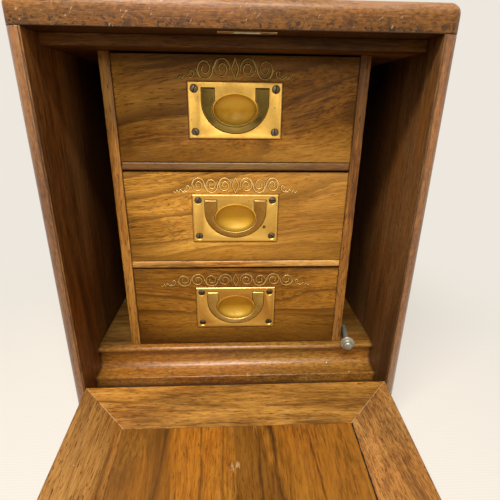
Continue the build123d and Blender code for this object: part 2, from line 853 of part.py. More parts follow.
print("fall front slope in degrees", round(flap_slope, 3), "opening from shut", round(90 + flap_slope, 3))
print("hinge line y, z", round(hinge_y, 3), round(hinge_z, 3))
print("drawer face y", drawer_y, "floor z", floor_z, "ceiling z", ceiling_z, "case top", case_top)
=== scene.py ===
# %% [markdown]
# # An antique table cabinet for jewelry, dressed in Blender
# The pieces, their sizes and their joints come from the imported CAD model. This lesson adds what the
# CAD model hasn't got: eased arrises, wood with grain and pores, aged brass, inlaid scrolls, slotted
# screws and the light of the photograph. Each step says what the real piece is and why it is made so.

import functools
import json
import math

import bmesh
import bpy
from mathutils import Matrix, Vector

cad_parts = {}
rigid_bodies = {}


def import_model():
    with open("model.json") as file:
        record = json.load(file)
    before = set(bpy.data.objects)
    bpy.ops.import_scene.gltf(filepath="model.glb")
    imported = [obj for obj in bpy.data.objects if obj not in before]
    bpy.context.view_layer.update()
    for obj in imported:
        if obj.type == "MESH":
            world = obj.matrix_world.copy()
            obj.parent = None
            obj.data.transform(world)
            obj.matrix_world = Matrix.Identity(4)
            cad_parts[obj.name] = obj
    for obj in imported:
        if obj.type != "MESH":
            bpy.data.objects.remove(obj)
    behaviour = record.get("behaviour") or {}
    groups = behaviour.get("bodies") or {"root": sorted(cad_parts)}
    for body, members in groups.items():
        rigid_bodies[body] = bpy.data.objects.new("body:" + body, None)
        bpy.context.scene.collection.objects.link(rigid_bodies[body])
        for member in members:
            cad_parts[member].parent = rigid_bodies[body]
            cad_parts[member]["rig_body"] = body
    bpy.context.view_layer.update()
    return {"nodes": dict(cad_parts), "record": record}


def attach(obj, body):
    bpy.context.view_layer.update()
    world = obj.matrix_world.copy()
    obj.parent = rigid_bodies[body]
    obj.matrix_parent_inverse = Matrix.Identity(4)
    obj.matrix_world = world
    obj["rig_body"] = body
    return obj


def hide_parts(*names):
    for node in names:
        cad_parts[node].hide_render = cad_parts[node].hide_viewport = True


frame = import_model()
nodes = frame["nodes"]
MM = 0.001

# %% [markdown]
# ## The camera
# The photograph was taken from close by, a little above the top drawer and looking down. The camera's
# place, its turn and its lens were fitted to the straight edges of the cabinet, so they are plain
# numbers here. A camera looks along its own -Z axis with +Y up, so its matrix has those three axes.

# %% Camera
CAMERA_PLACE = Vector((-4.41, -377.15, 271.18)) * MM
CAMERA_YAW, CAMERA_PITCH, CAMERA_ROLL = (math.radians(a) for a in (2.916, 20.887, -0.664))
FOCAL_PIXELS, PICTURE_PIXELS, SENSOR_WIDTH = 375.9, 500, 36.0


def camera_axes(yaw, pitch, roll):
    """The camera's right, up and backward directions for its turn, pitch down and roll."""
    level_right = Vector((math.cos(yaw), -math.sin(yaw), 0))
    level_up = Vector((math.sin(pitch) * math.sin(yaw), math.sin(pitch) * math.cos(yaw), math.cos(pitch)))
    right = math.cos(roll) * level_right - math.sin(roll) * level_up
    up = math.sin(roll) * level_right + math.cos(roll) * level_up
    return right, up, right.cross(up)


camera = bpy.data.objects.new("camera", bpy.data.cameras.new("camera"))
bpy.context.scene.collection.objects.link(camera)
axes = Matrix(camera_axes(CAMERA_YAW, CAMERA_PITCH, CAMERA_ROLL)).transposed()
camera.matrix_world = Matrix.Translation(CAMERA_PLACE) @ axes.to_4x4()
camera.data.sensor_width = SENSOR_WIDTH
camera.data.lens = FOCAL_PIXELS / PICTURE_PIXELS * SENSOR_WIDTH
camera.data.clip_start, camera.data.clip_end = 0.01, 20
bpy.context.scene.camera = camera
print("camera lens", round(camera.data.lens, 2), "mm at", tuple(round(v, 3) for v in camera.location))

# %% [markdown]
# ## Values and nodes
# A node tree is easier to read when one line makes a node, sets its inputs and links what feeds it:
# `add` does that, and `take` hands back one of its outputs. A `Value` holds such an output. Adding or
# multiplying it makes a math node in the same tree, so a mask can be written like a sum.

# %% Node helpers
KINDS = {int: "Int", float: "Float", tuple: "Vector"}


class Value:
    """A node's output. Sums and products with it make math nodes in its tree."""

    def __init__(self, socket):
        self.socket, self.tree = socket, socket.id_data

    def __add__(self, other):
        return maths("ADD", self, other)

    def __sub__(self, other):
        return maths("SUBTRACT", self, other)

    def __mul__(self, other):
        return maths("MULTIPLY", self, other)

    def __truediv__(self, other):
        return maths("DIVIDE", self, other)

    def __abs__(self):
        return maths("ABSOLUTE", self)


def feed(socket, value):
    """Links an input to a value, or sets it. Colours are given as red, green and blue."""
    if isinstance(value, Value):
        value.tree.links.new(value.socket, socket)
    else:
        socket.default_value = (*value, 1.0) if socket.type == "RGBA" else value


def plug(node, inputs):
    """Feeds a node's inputs, given by name or number."""
    for name, value in inputs.items():
        feed(node.inputs[name], value)


def add(tree, kind, inputs=None, **settings):
    """Adds a node with its settings and its inputs."""
    made = tree.nodes.new(kind)
    for name, value in settings.items():
        setattr(made, name, value)
    plug(made, inputs or {})
    return made


def take(tree, kind, inputs=None, output=0, **settings):
    """Adds a node and takes one of its outputs."""
    return Value(add(tree, kind, inputs, **settings).outputs[output])


def tree_of(*values):
    """The tree that some values belong to. Plain numbers and colours have none."""
    return next(value.tree for value in values if isinstance(value, Value))


def new_group(kind, name, inputs, outputs):
    """A node group: the tree, its inputs as values, and its output node. Inputs have a kind or a start."""
    tree = bpy.data.node_groups.new(name, f"{kind}NodeTree")
    for label, start in inputs.items():
        of_kind = start if isinstance(start, str) else KINDS[type(start)]
        socket = tree.interface.new_socket(label, in_out="INPUT", socket_type=f"NodeSocket{of_kind}")
        if start != of_kind:
            socket.default_value = start
    for label, of_kind in outputs.items():
        tree.interface.new_socket(label, in_out="OUTPUT", socket_type=f"NodeSocket{of_kind}")
    sockets = tree.nodes.new("NodeGroupInput").outputs
    return tree, {label: Value(sockets[label]) for label in inputs}, tree.nodes.new("NodeGroupOutput")


def new_material(name):
    """A material, its node tree and its shader."""
    material = bpy.data.materials.new(name)
    material.use_nodes = True
    return material, material.node_tree, material.node_tree.nodes["Principled BSDF"]


def new_object(name, mesh):
    """Puts a mesh into the scene as an object at the origin."""
    made = bpy.data.objects.new(name, mesh)
    bpy.context.scene.collection.objects.link(made)
    return made


print("node helpers ready")

# %% [markdown]
# ## The words that masks are written in
# Every stain, streak and worn edge below is made from the same few things: noise, a smooth step from one
# value to another, the largest of several masks, the parts of a point's place, and scattered dots.

# %% Shader helpers


def maths(operation, *values):
    """One math node's result."""
    return take(tree_of(*values), "ShaderNodeMath", dict(enumerate(values)), operation=operation)


def highest(*values):
    """The largest of some values."""
    return functools.reduce(lambda first, second: maths("MAXIMUM", first, second), values)


def distance(first, second):
    """How far off a point is that lies so far along two axes."""
    return maths("SQRT", first * first + second * second)


def mixed(amount, first, second, mode="MIX"):
    """Two colours mixed by an amount."""
    inputs = {0: amount, 6: first, 7: second}
    tree = tree_of(amount, first, second)
    return take(tree, "ShaderNodeMix", inputs, 2, data_type="RGBA", blend_type=mode)


def ramped(value, dark, middle, light):
    """A value turned into a colour by three stops, each a position and a colour."""
    ramp = add(value.tree, "ShaderNodeValToRGB", {0: value})
    stops = ramp.color_ramp.elements
    for stop, (position, colour) in zip(stops[:], (dark, light)):
        stop.position, stop.color = position, (*colour, 1.0)
    stops.new(middle[0]).color = (*middle[1], 1.0)
    return Value(ramp.outputs[0])


def spread(value, low, high, to_low=0.0, to_high=1.0):
    """A value stretched from one range to another, smoothly and without leaving it."""
    inputs = {"Value": value, "From Min": low, "From Max": high, "To Min": to_low, "To Max": to_high}
    return take(value.tree, "ShaderNodeMapRange", inputs, interpolation_type="SMOOTHSTEP")


def parts(value, kind="XYZ"):
    """The three parts of a vector or a colour."""
    return [Value(socket) for socket in add(value.tree, f"ShaderNodeSeparate{kind}", {0: value}).outputs]


def own_place(tree, kind="Object"):
    """A point's place in the part's own metres, or another of its coordinates."""
    return take(tree, "ShaderNodeTexCoord", output=kind)


def vectors(operation, first, second):
    """One vector math node's result."""
    return take(first.tree, "ShaderNodeVectorMath", {0: first, 1: second}, operation=operation)


def stretched(vector, x=1.0, y=1.0, z=1.0):
    """A vector with each part multiplied."""
    return vectors("MULTIPLY", vector, take(vector.tree, "ShaderNodeCombineXYZ", {0: x, 1: y, 2: z}))


def turned(vector, *degrees):
    """A vector turned about X, Y and Z."""
    angles = [math.radians(angle) for angle in degrees]
    return take(vector.tree, "ShaderNodeMapping", {"Vector": vector, "Rotation": angles})


def seeded(vector, seed):
    """A vector moved by a seed, so that each board gets its own piece of the noise."""
    shift = take(vector.tree, "ShaderNodeCombineXYZ", {0: seed, 1: seed, 2: seed})
    return vectors("ADD", vector, shift)


def noise(vector, scale, detail=3.0, roughness=0.5, distortion=0.0, output="Fac"):
    """A noise texture's grey value, or its colour."""
    inputs = {"Vector": vector, "Scale": scale, "Detail": detail, "Roughness": roughness}
    return take(vector.tree, "ShaderNodeTexNoise", {**inputs, "Distortion": distortion}, output)


def dots(vector, scale, rim, chosen, channel=0):
    """Round dots in some cells of a Voronoi texture, picked by one part of the cell's colour."""
    cells = add(vector.tree, "ShaderNodeTexVoronoi", {"Vector": vector, "Scale": scale}).outputs
    pick = parts(Value(cells["Color"]), "Color")[channel]
    return spread(Value(cells["Distance"]), *rim) * spread(pick, *chosen)


def bumped(height, strength, depth):
    """A surface roughened by a height."""
    inputs = {"Height": height, "Strength": strength, "Distance": depth}
    return take(height.tree, "ShaderNodeBump", inputs)


def use(group, inputs):
    """Places a group beside its vector and returns its outputs by name."""
    made = add(inputs["Vector"].tree, "ShaderNodeGroup", inputs, node_tree=group)
    return {socket.name: Value(socket) for socket in made.outputs}


print("shader helpers ready")

# %% [markdown]
# ## Table and backdrop
# The cabinet stands on a pale woven cloth, and the room behind it is as pale. The cloth near the
# cabinet is partly lit, so it keeps a soft shadow, and partly glows. Further away it hands over to the
# glow alone, and so does the world, for the camera and for what brass mirrors, so no horizon shows. The
# light that bounces off the cloth is kept low: the room in front of the real cabinet was dark.

# %% Stage
SEEN_COLOUR = (0.85, 0.80, 0.725)
PALE_CLOTH, CLOTH_GAPS, CLOTH_FOR_BOUNCES = (0.965, 0.945, 0.90), (0.87, 0.845, 0.80), (0.26, 0.24, 0.21)
THREAD_WAVES = 130.0
NEAR_CLOTH, FAR_CLOTH, LEAST_GLOW = 0.22, 0.50, 0.55
FLOOR_HALF = 5.0
ROOM_LIGHT, ROOM_STRENGTH = (1.0, 0.93, 0.84), 0.10


def seen_rays(tree):
    """One for the rays that look at the backdrop: camera, mirrored and see-through rays."""
    rays = add(tree, "ShaderNodeLightPath").outputs
    return highest(*(Value(rays[f"Is {kind} Ray"]) for kind in ("Camera", "Glossy", "Transmission")))


cloth, tree, shader = new_material("pale_cloth")
place = own_place(tree)
threads = {"Vector": place, "Scale": THREAD_WAVES, "Distortion": 0.6}
across, along = (take(tree, "ShaderNodeTexWave", threads, "Fac", bands_direction=side) for side in "XY")
woven = mixed(spread(across * along, 0.05, 0.55), CLOTH_GAPS, PALE_CLOTH)
plug(shader, {"Base Color": mixed(seen_rays(tree), CLOTH_FOR_BOUNCES, woven), "Roughness": 0.95,
              "Specular IOR Level": 0.1})
glow = take(tree, "ShaderNodeEmission", {"Color": SEEN_COLOUR, "Strength": 1.0})
far_off = take(tree, "ShaderNodeVectorMath", {0: place}, "Value", operation="LENGTH")
handed_over = spread(far_off, NEAR_CLOTH, FAR_CLOTH, LEAST_GLOW, 1.0) * seen_rays(tree)
both = take(tree, "ShaderNodeMixShader", {0: handed_over, 1: Value(shader.outputs[0]), 2: glow})
plug(tree.nodes["Material Output"], {"Surface": both})

floor_mesh = bpy.data.meshes.new("floor")
corners = [(x * FLOOR_HALF, y * FLOOR_HALF, 0) for x, y in ((-1, -1), (1, -1), (1, 1), (-1, 1))]
floor_mesh.from_pydata(corners, [], [(0, 1, 2, 3)])
floor_mesh.materials.append(cloth)
new_object("floor", floor_mesh)

world = bpy.data.worlds.new("room")
bpy.context.scene.world = world
world.use_nodes = True
tree = world.node_tree
dim_room = tree.nodes["Background"]
plug(dim_room, {"Color": ROOM_LIGHT, "Strength": ROOM_STRENGTH})
pale_room = take(tree, "ShaderNodeBackground", {"Color": SEEN_COLOUR, "Strength": 1.0})
room = take(tree, "ShaderNodeMixShader", {0: seen_rays(tree), 1: Value(dim_room.outputs[0]), 2: pale_room})
plug(tree.nodes["World Output"], {"Surface": room})
bpy.context.scene.view_settings.view_transform = "Standard"
print("stage and world ready")

# %% [markdown]
# ## Lamps
# The shadows in the photograph tell where its lamps are. The top board's front arris draws a slanting
# shadow down both inner sides, at 61 degrees, and it is sharp: a long lamp overhead in front, wide from
# left to right and narrow the other way. The upper drawer brightens slowly from its top edge down,
# which tells of a tall soft light in front.

# %% Lamps
LAMP_TARGET = Vector((0, -0.1, 0.2))


def area_lamp(name, x, elevation, distance_off, size, power, colour):
    """A lamp of a given width and height that shines at the cabinet from in front of it."""
    lamp = bpy.data.objects.new(name, bpy.data.lights.new(name, "AREA"))
    lamp.data.shape = "RECTANGLE"
    lamp.data.size, lamp.data.size_y = size
    lamp.data.energy = power
    lamp.data.color = colour
    bpy.context.scene.collection.objects.link(lamp)
    angle = math.radians(elevation)
    way = Vector((x, -math.cos(angle) * distance_off, math.sin(angle) * distance_off))
    lamp.location = LAMP_TARGET + way
    lamp.rotation_euler = (LAMP_TARGET - lamp.location).to_track_quat("-Z", "Y").to_euler()


area_lamp("ceiling_lamp", -0.20, 61, 1.6, (1.3, 0.16), 33.0, (1.0, 0.93, 0.82))
area_lamp("front_lamp", -0.15, 33, 1.6, (0.5, 1.0), 11.0, (1.0, 0.94, 0.85))

# %% [markdown]
# ## Wood figure
# Walnut and mahogany show several things at several scales: broad clouds of light and dark, dark bands a
# few millimetres wide that wander along the board, thin dark lines where each year's growth ended, fine
# lines and fibres, and short open pores that hold dirt. All of them run along the grain, so the group
# stretches its noise along X, and each material turns the board's own coordinates until its grain lies
# on X. The growth rings are contour lines of one slow noise. Warmth says where the wood turns orange.

# %% Group: wood figure
wood_figure, given, result = new_group(
    "Shader", "wood_figure",
    {"Vector": "Vector", "Seed": 0.0, "Wander": 0.012, "Width": 1.0, "Length": 1.0},
    dict.fromkeys(("Tone", "Bands", "Rings", "Pores", "Fibres", "Warmth"), "Float"),
)
CLOUDS, BANDS, LINES, FIBRES, PORES, WARMTH = 34.0, 115.0, 380.0, 1050.0, 1300.0, 26.0
RINGS, RINGS_PER_WAVE = 17.0, 12.0
placed = seeded(given["Vector"], given["Seed"])
slow = noise(stretched(placed, 0.35), 14.0, 2.0, output="Color")
scaling = {0: vectors("SUBTRACT", slow, (0.5, 0.5, 0.5)), "Scale": given["Wander"]}
drift = take(wood_figure, "ShaderNodeVectorMath", scaling, operation="SCALE")
fine = vectors("ADD", placed, drift)
broad = stretched(fine, maths("DIVIDE", 1.0, given["Length"]))
cloud_scale, band_scale, ring_scale = (maths("DIVIDE", s, given["Width"]) for s in (CLOUDS, BANDS, RINGS))
clouds = spread(noise(stretched(broad, 0.20), cloud_scale, 2.0), 0.34, 0.66)
line_noise = noise(stretched(broad, 0.040), LINES, 3.0, 0.62)
lines = spread(line_noise, 0.34, 0.66)
fibres = spread(noise(stretched(fine, 0.085), FIBRES, 2.0, 0.6), 0.32, 0.68)
hills = line_noise * 0.035 + noise(stretched(broad, 0.13), ring_scale, 1.0)
year = maths("FRACT", hills * RINGS_PER_WAVE)
plug(result, {
    "Tone": lines * 0.28 + clouds * 0.42 + fibres * 0.30,
    "Bands": spread(noise(stretched(broad, 0.065), band_scale, 3.0, 0.62, 0.25), 0.53, 0.70),
    "Rings": spread(year, 0.68, 0.93) * spread(year, 1.0, 0.95) * spread(fibres, 0, 1, 0.6, 1.0),
    "Pores": spread(noise(stretched(fine, 0.11), PORES, 1.0), 0.60, 0.70),
    "Fibres": fibres,
    "Warmth": spread(noise(stretched(broad, 0.35), WARMTH, 1.0), 0.40, 0.60),
})
print("wood_figure has", len(wood_figure.nodes), "nodes")

# %% [markdown]
# ## How near a point is to an arris
# Wear, polish and dirt gather along edges. For a board with square sides the distance to the nearest
# edge is easy to work out: measure how far the point is from the nearer face on each axis, and take
# the middle one of the three. It needs no baked data and works on any board, given its two corners.

# %% Group: edge distance
edge_distance, given, result = new_group(
    "Shader", "edge_distance", dict.fromkeys(("Vector", "Low", "High"), "Vector"), {"Distance": "Float"},
)
sides = zip(*(parts(given[name]) for name in ("Vector", "Low", "High")))
gaps = [maths("MINIMUM", at - low, high - at) for at, low, high in sides]
smaller, larger = (maths(kind, gaps[0], gaps[1]) for kind in ("MINIMUM", "MAXIMUM"))
plug(result, {"Distance": highest(smaller, maths("MINIMUM", larger, gaps[2]))})
print("edge_distance has", len(edge_distance.nodes), "nodes")

# %% [markdown]
# ## Age: dust, scratches and dents
# A century of use leaves pale specks of dust, short pale scratches and shallow dents. They are the
# same on every polished surface, so they are one group with an amount for each.

# %% Group: age marks
age_marks, given, result = new_group(
    "Shader", "age_marks", {"Vector": "Vector", "Seed": 0.0},
    dict.fromkeys(("Specks", "Scratches", "Dents"), "Float"),
)
placed = seeded(given["Vector"], given["Seed"])
thin = spread(noise(stretched(placed, 0.12), 420.0, 1.0, 0.4, 1.2), 0.70, 0.76)
plug(result, {
    "Specks": dots(placed, 90.0, (0.050, 0.022), (0.80, 0.84)),
    "Scratches": thin * spread(noise(placed, 28.0, 2.0), 0.56, 0.70),
    "Dents": noise(placed, 95.0, 3.0, 0.6),
})
print("age_marks has", len(age_marks.nodes), "nodes")

# %% [markdown]
# ## Wood material
# One function makes the finish of every board. The board's grain direction, its mean colour, its own
# seed and its two corners go in, and three tones are worked out from the mean. The old finish is a thin
# wax on most boards, with a harder polish only on the parts that hands and dusters reach. Marks that
# only one board has are laid over its wood afterwards, by `marked`, and so is painted light and shade.

# %% Wood material
GRAIN_ORDER = {"X": (0, 1, 2), "Y": (1, 2, 0), "Z": (2, 0, 1)}
DARK_SHARE, MID_SHARE, LIGHT_SHARE = (0.34, 0.27, 0.22), (0.96, 0.93, 0.88), (1.52, 1.66, 2.0)
WARM_TINT, COOL_TINT = (1.08, 0.92, 0.60), (0.93, 1.04, 1.15)
ARRIS_DIRT, SCRATCH_TONE = (0.06, 0.026, 0.008), (0.62, 0.42, 0.25)
DUST_TONE, GAP_TONE = (0.85, 0.80, 0.70), (0.012, 0.005, 0.002)


def shares(mean, factors, part=1.0):
    """A colour with each part multiplied, kept below one."""
    return [min(0.95, colour * factor * part) for colour, factor in zip(mean, factors)]


def wood(name, mean, grain, corners, seed, turn=0.0, lean=0.0, wander=0.012, width=1.0, length=1.0,
         bands=0.7, pores=0.6, ringed=0.0, mottled=0.0, warm=0.6, shine=0.2, polish=0.0, coat_rough=0.17,
         edge_wear=0.5, edge_width=0.9, dusty=0.0, scratched=0.3, dented=0.25):
    """A finished wood. turn is the board's slope about X and lean the grain's slant, in degrees."""
    material, tree, shader = new_material(name)
    own = turned(own_place(tree), turn, 0, 0)
    part = parts(own)
    laid = take(tree, "ShaderNodeCombineXYZ", {i: part[GRAIN_ORDER[grain][i]] for i in range(3)})
    along = turned(laid, 0, lean, lean)
    values = {"Vector": along, "Seed": seed, "Wander": wander, "Width": width, "Length": length}
    figure = use(wood_figure, values)
    age = use(age_marks, {"Vector": own, "Seed": seed})
    edge = use(edge_distance, {"Vector": own, "Low": corners[0], "High": corners[1]})["Distance"]

    level = figure["Tone"]
    if mottled:
        speckle = spread(noise(stretched(along, 0.45), 560.0, 3.0, 0.6), 0.34, 0.66)
        level = level * (1.0 - mottled) + speckle * mottled
    dark, middle, light = (shares(mean, share) for share in (DARK_SHARE, MID_SHARE, LIGHT_SHARE))
    tone = ramped(level, (0.08, dark), (0.48, middle), (0.92, light))
    tone = mixed(warm, tone, mixed(figure["Warmth"], COOL_TINT, WARM_TINT), "MULTIPLY")
    ragged = figure["Fibres"] * (edge_width * MM) + edge
    near = spread(ragged, 1.9 * edge_width * MM, 0.6 * edge_width * MM)
    filled, late_wood = (shares(mean, DARK_SHARE, part) for part in (0.8, 0.5))
    for mask, amount, layer in (
        (figure["Bands"], bands, filled), (figure["Rings"], ringed, late_wood),
        (figure["Pores"], pores, filled), (near, edge_wear, ARRIS_DIRT),
        (age["Scratches"], scratched, SCRATCH_TONE), (age["Specks"], dusty, DUST_TONE),
    ):
        if amount:
            tone = mixed(mask * amount, tone, layer)
    height = (figure["Fibres"] * 0.22 + figure["Pores"] * -0.55 + age["Dents"] * dented
              + age["Scratches"] * -0.3)
    plug(shader, {
        "Base Color": tone,
        "Roughness": figure["Fibres"] * 0.10 + 0.36 + age["Dents"] * 0.18 + figure["Pores"] * 0.15,
        "Specular IOR Level": shine,
        "Coat Weight": polish,
        "Coat Roughness": coat_rough,
        "Normal": bumped(height, 0.32, 0.0006),
    })
    return material


def marked(material, mask_of, tone):
    """Lays one more tone over a finish where mask_of says. Its x, y and z are in millimetres."""
    base = material.node_tree.nodes["Principled BSDF"].inputs["Base Color"]
    before = Value(base.links[0].from_socket)
    place = own_place(material.node_tree)
    in_millimetres = parts(stretched(place, 1 / MM, 1 / MM, 1 / MM))
    feed(base, mixed(mask_of(place, *in_millimetres), before, tone))


print("wood material ready")

# %% [markdown]
# ## Metals
# The flush handles are cast brass, once polished and now mellow under a trace of lacquer, with brown
# stains and a few dark pits; their arrises are rubbed bright and carry a painted highlight. The groove
# for the bail holds dirt and painted shade. The bowl was never polished, so it is duller, and its tone
# runs as painted light from an olive foot to a bright top. Screws are steel gone brown, the lock is
# grey iron and the loose pin is brighter steel. One function makes all of them from a clean tone and a
# stain.

# %% Metal material
GROOVE_REACH, GROOVE_DIRT_AND_SHADE = (33.5 * MM, 18.3 * MM), (0.045, 0.026, 0.007)
BOWL_FOOT, BOWL_MIDDLE, BOWL_PAINTED_TOP = (0.43, 0.285, 0.048), (0.47, 0.252, 0.017), (0.88, 0.58, 0.095)
PIT_TONE, BRIGHT_ARRIS_AND_HIGHLIGHT = (0.05, 0.032, 0.014), (0.95, 0.72, 0.30)


def metal(name, clean, stain, seed, roughness=0.34, stained=0.45, brushed=0.0, metallic=1.0, lacquer=0.0,
          corners=None, bowl=None):
    """An aged metal: a clean tone, a stain in patches, pits, arrises rubbed bright with a painted highlight, a
    groove with painted shade and a duller bowl with painted light.
    """
    material, tree, shader = new_material(name)
    place = own_place(tree)
    own = take(tree, "ShaderNodeMapping", {"Vector": place, "Location": (seed, seed * 0.7, seed * 1.3)})
    patches = spread(noise(own, 60.0, 4.0, 0.62), 0.42, 0.72)
    mottle = noise(own, 420.0, 3.0, 0.6)
    pits = dots(own, 210.0, (0.16, 0.08), (0.72, 0.78))
    tone = mixed(patches * stained, clean, stain)
    tone = mixed(spread(mottle, 0.35, 0.75, 0.0, 0.18), tone, stain)
    tone = mixed(pits * 0.5, tone, PIT_TONE)
    rough = patches * 0.14 + roughness + mottle * 0.10
    if bowl:
        (middle_x, front_y, middle_z), (half_x, half_z) = bowl
        x, y, z = parts(place)
        off_x, off_z = (x - middle_x) / half_x, (z - middle_z) / half_z
        sunk = spread(off_x * off_x + off_z * off_z, 1.04, 0.96)
        behind = spread(y - front_y, 0.15 * MM, 0.60 * MM)
        for off, limit in ((off_x, GROOVE_REACH[0] / half_x), (off_z, GROOVE_REACH[1] / half_z)):
            behind = behind * spread(abs(off), limit, limit - 0.03)
        # Dirt and painted shade in the bail's groove.
        tone = mixed(behind, tone, GROOVE_DIRT_AND_SHADE)
        # Painted light: the bowl's tone runs from an olive foot to a bright top.
        painted_bowl_light = ramped(off_z * 0.5 + 0.5, (0.08, BOWL_FOOT), (0.48, BOWL_MIDDLE), (0.95, BOWL_PAINTED_TOP))
        tone = mixed(sunk, tone, painted_bowl_light)
        rough = rough + sunk * 0.20
    if corners:
        edge = use(edge_distance, {"Vector": place, "Low": corners[0], "High": corners[1]})["Distance"]
        # Arrises rubbed bright, with a painted highlight along them.
        tone = mixed(spread(edge, 0.9 * MM, 0.2 * MM, 0.0, 0.5), tone, BRIGHT_ARRIS_AND_HIGHLIGHT)
    strokes = noise(stretched(own, 0.02), 1600.0, 1.0)
    plug(shader, {
        "Base Color": tone,
        "Metallic": metallic,
        "Roughness": rough,
        "Coat Weight": lacquer,
        "Coat Roughness": 0.22,
        "Normal": bumped(strokes * brushed + mottle * 0.35 + pits * -0.5, 0.22, 0.0003),
    })
    return material


BRASS, BRASS_STAIN = (0.74, 0.45, 0.096), (0.38, 0.20, 0.036)
SCREW_STEEL, SCREW_STAIN = (0.15, 0.115, 0.078), (0.045, 0.033, 0.022)
screw_metal = metal("dark_screw_steel", SCREW_STEEL, SCREW_STAIN, 2.0, 0.36, stained=0.6)
pin_metal = metal("loose_pin_steel", (0.40, 0.40, 0.34), (0.20, 0.17, 0.13), 4.0, 0.30, brushed=0.2,
                  metallic=0.55)
lock_metal = metal("lock_iron", (0.27, 0.26, 0.24), (0.11, 0.08, 0.055), 6.0, 0.45, brushed=0.4)
hinge_metal = metal("hinge_brass", (0.62, 0.40, 0.12), BRASS_STAIN, 8.0, 0.36, brushed=0.3)
strike_metal = metal("strike_brass", (0.88, 0.78, 0.58), (0.5, 0.38, 0.2), 9.0, 0.45, stained=0.3)
print("metals ready")

# %% [markdown]
# ## Dressing a board
# A CAD board has knife-sharp arrises, and no real board does: a stroke of the plane and years of
# dusting ease them. A copy of the board's mesh is joined into clean faces and gets a Bevel modifier
# with hardened normals, so its faces stay flat and its edges catch a line of light. The copy rides on
# the same body as the board and stands in its place.

# %% Dressing helpers
FLAT_ANGLE, CORNER_ANGLE = math.radians(0.6), math.radians(28)
WELD = 2e-6


def cleaned_mesh(node, name):
    """A copy of a CAD node's mesh with its triangles joined into whole faces."""
    mesh = nodes[node].data.copy()
    mesh.name = name
    mesh.materials.clear()
    shape = bmesh.new()
    shape.from_mesh(mesh)
    bmesh.ops.remove_doubles(shape, verts=shape.verts, dist=WELD)
    bmesh.ops.dissolve_limit(shape, angle_limit=FLAT_ANGLE, verts=shape.verts, edges=shape.edges)
    shape.to_mesh(mesh)
    shape.free()
    return mesh


def finish_piece(piece, body, slot, material, *stands_for):
    """Gives a piece its material and its body, and hides the CAD nodes it stands for."""
    piece.data.materials.clear()
    piece.data.materials.append(material)
    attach(piece, body)
    if stands_for:
        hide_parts(*stands_for)


def dress(node, material, ease, steps=2):
    """Replaces a CAD node by a copy with eased arrises, in millimetres."""
    piece = new_object(f"{node}_dressed", cleaned_mesh(node, f"{node}_dressed"))
    for face in piece.data.polygons:
        face.use_smooth = True
    bevel = piece.modifiers.new("eased arrises", "BEVEL")
    bevel.width = ease * MM
    bevel.segments = steps
    bevel.limit_method = "ANGLE"
    bevel.angle_limit = CORNER_ANGLE
    bevel.harden_normals = True
    bevel.use_clamp_overlap = True
    slot = next(s["material_slot"] for s in frame["record"]["subparts"] if s["node"] == node)
    finish_piece(piece, nodes[node]["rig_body"], slot, material, node)


def box_of(points):
    """The two corners of the box round some points."""
    return tuple([pick(point[i] for point in points) for i in range(3)] for pick in (min, max))


def corners_of(node, turn=0.0):
    """A CAD node's two corners, measured along axes that are turned about X."""
    matrix = Matrix.Rotation(math.radians(turn), 3, "X")
    return box_of([matrix @ vertex.co for vertex in nodes[node].data.vertices])


def dress_board(node, kind, mean, grain, seed, ease, steps=2, marks=(), turn=0.0, **finish):
    """Makes a board's own wood, lays its marks and its painted light or shade over it and dresses the board."""
    material = wood(f"{node}_{kind}", mean, grain, corners_of(node, turn), seed, turn=turn, **finish)
    for mask_of, tone in marks:
        marked(material, mask_of, tone)
    dress(node, material, ease, steps)


print("lining corners", [[round(v, 4) for v in corner] for corner in corners_of("left_lining")])

# %% [markdown]
# ## The outside of the case
# The outside is mahogany: pinkish orange where the polish is thin, with open pores and a ragged,
# dirty lower arris on the top board, whose front also gets painted shade low down and a painted
# highlight along its worn upper arris. The grain runs up the sides and across everything else.

# %% Dress the outside
TOP_UNDER, TOP_UPPER, TOP_FRONT_Y = 314.5, 332.5, -118.0


# Painted shade: this mask darkens the top board's fascia toward its lower arris.
def painted_low_shade(place, x, y, z):
    """Painted shade: the fascia is darker and browner toward its lower arris."""
    return spread(z, TOP_UNDER + 13, TOP_UNDER + 5, 0.0, 0.4)


def low_stain(place, x, y, z):
    """Dark specks that crowd toward the lower arris."""
    specks = spread(noise(stretched(place, 0.6), 640.0, 2.0, 0.6), 0.53, 0.63)
    blots = spread(noise(place, 130.0, 3.0, 0.6), 0.50, 0.66)
    low = spread(z, TOP_UNDER + 13, TOP_UNDER + 2)
    arris = spread(z - blots * 1.1, TOP_UNDER + 0.9, TOP_UNDER + 0.1, 0.0, 0.65)
    return highest(arris, highest(specks * 0.95, blots * 0.75) * low)


# Partly real wear and partly a painted highlight along the top board's upper arris.
def worn_upper_and_highlight(place, x, y, z):
    """Polish worn pale along the upper front arris, in long patches, and a painted highlight there too."""
    patches = spread(noise(stretched(place, 0.25), 75.0, 3.0, 0.6), 0.40, 0.64)
    high = spread(z, TOP_UPPER - 8, TOP_UPPER - 2, 0.0, 0.55)
    return patches * high * spread(y, TOP_FRONT_Y + 14, TOP_FRONT_Y + 4)


def knocks(place, x, y, z):
    """Short pale scratches that lean."""
    thin = spread(noise(stretched(turned(place, 0, 58, 0), 0.30), 900.0, 1.0), 0.66, 0.72)
    return thin * spread(noise(place, 60.0, 2.0), 0.50, 0.60, 0.0, 0.5)


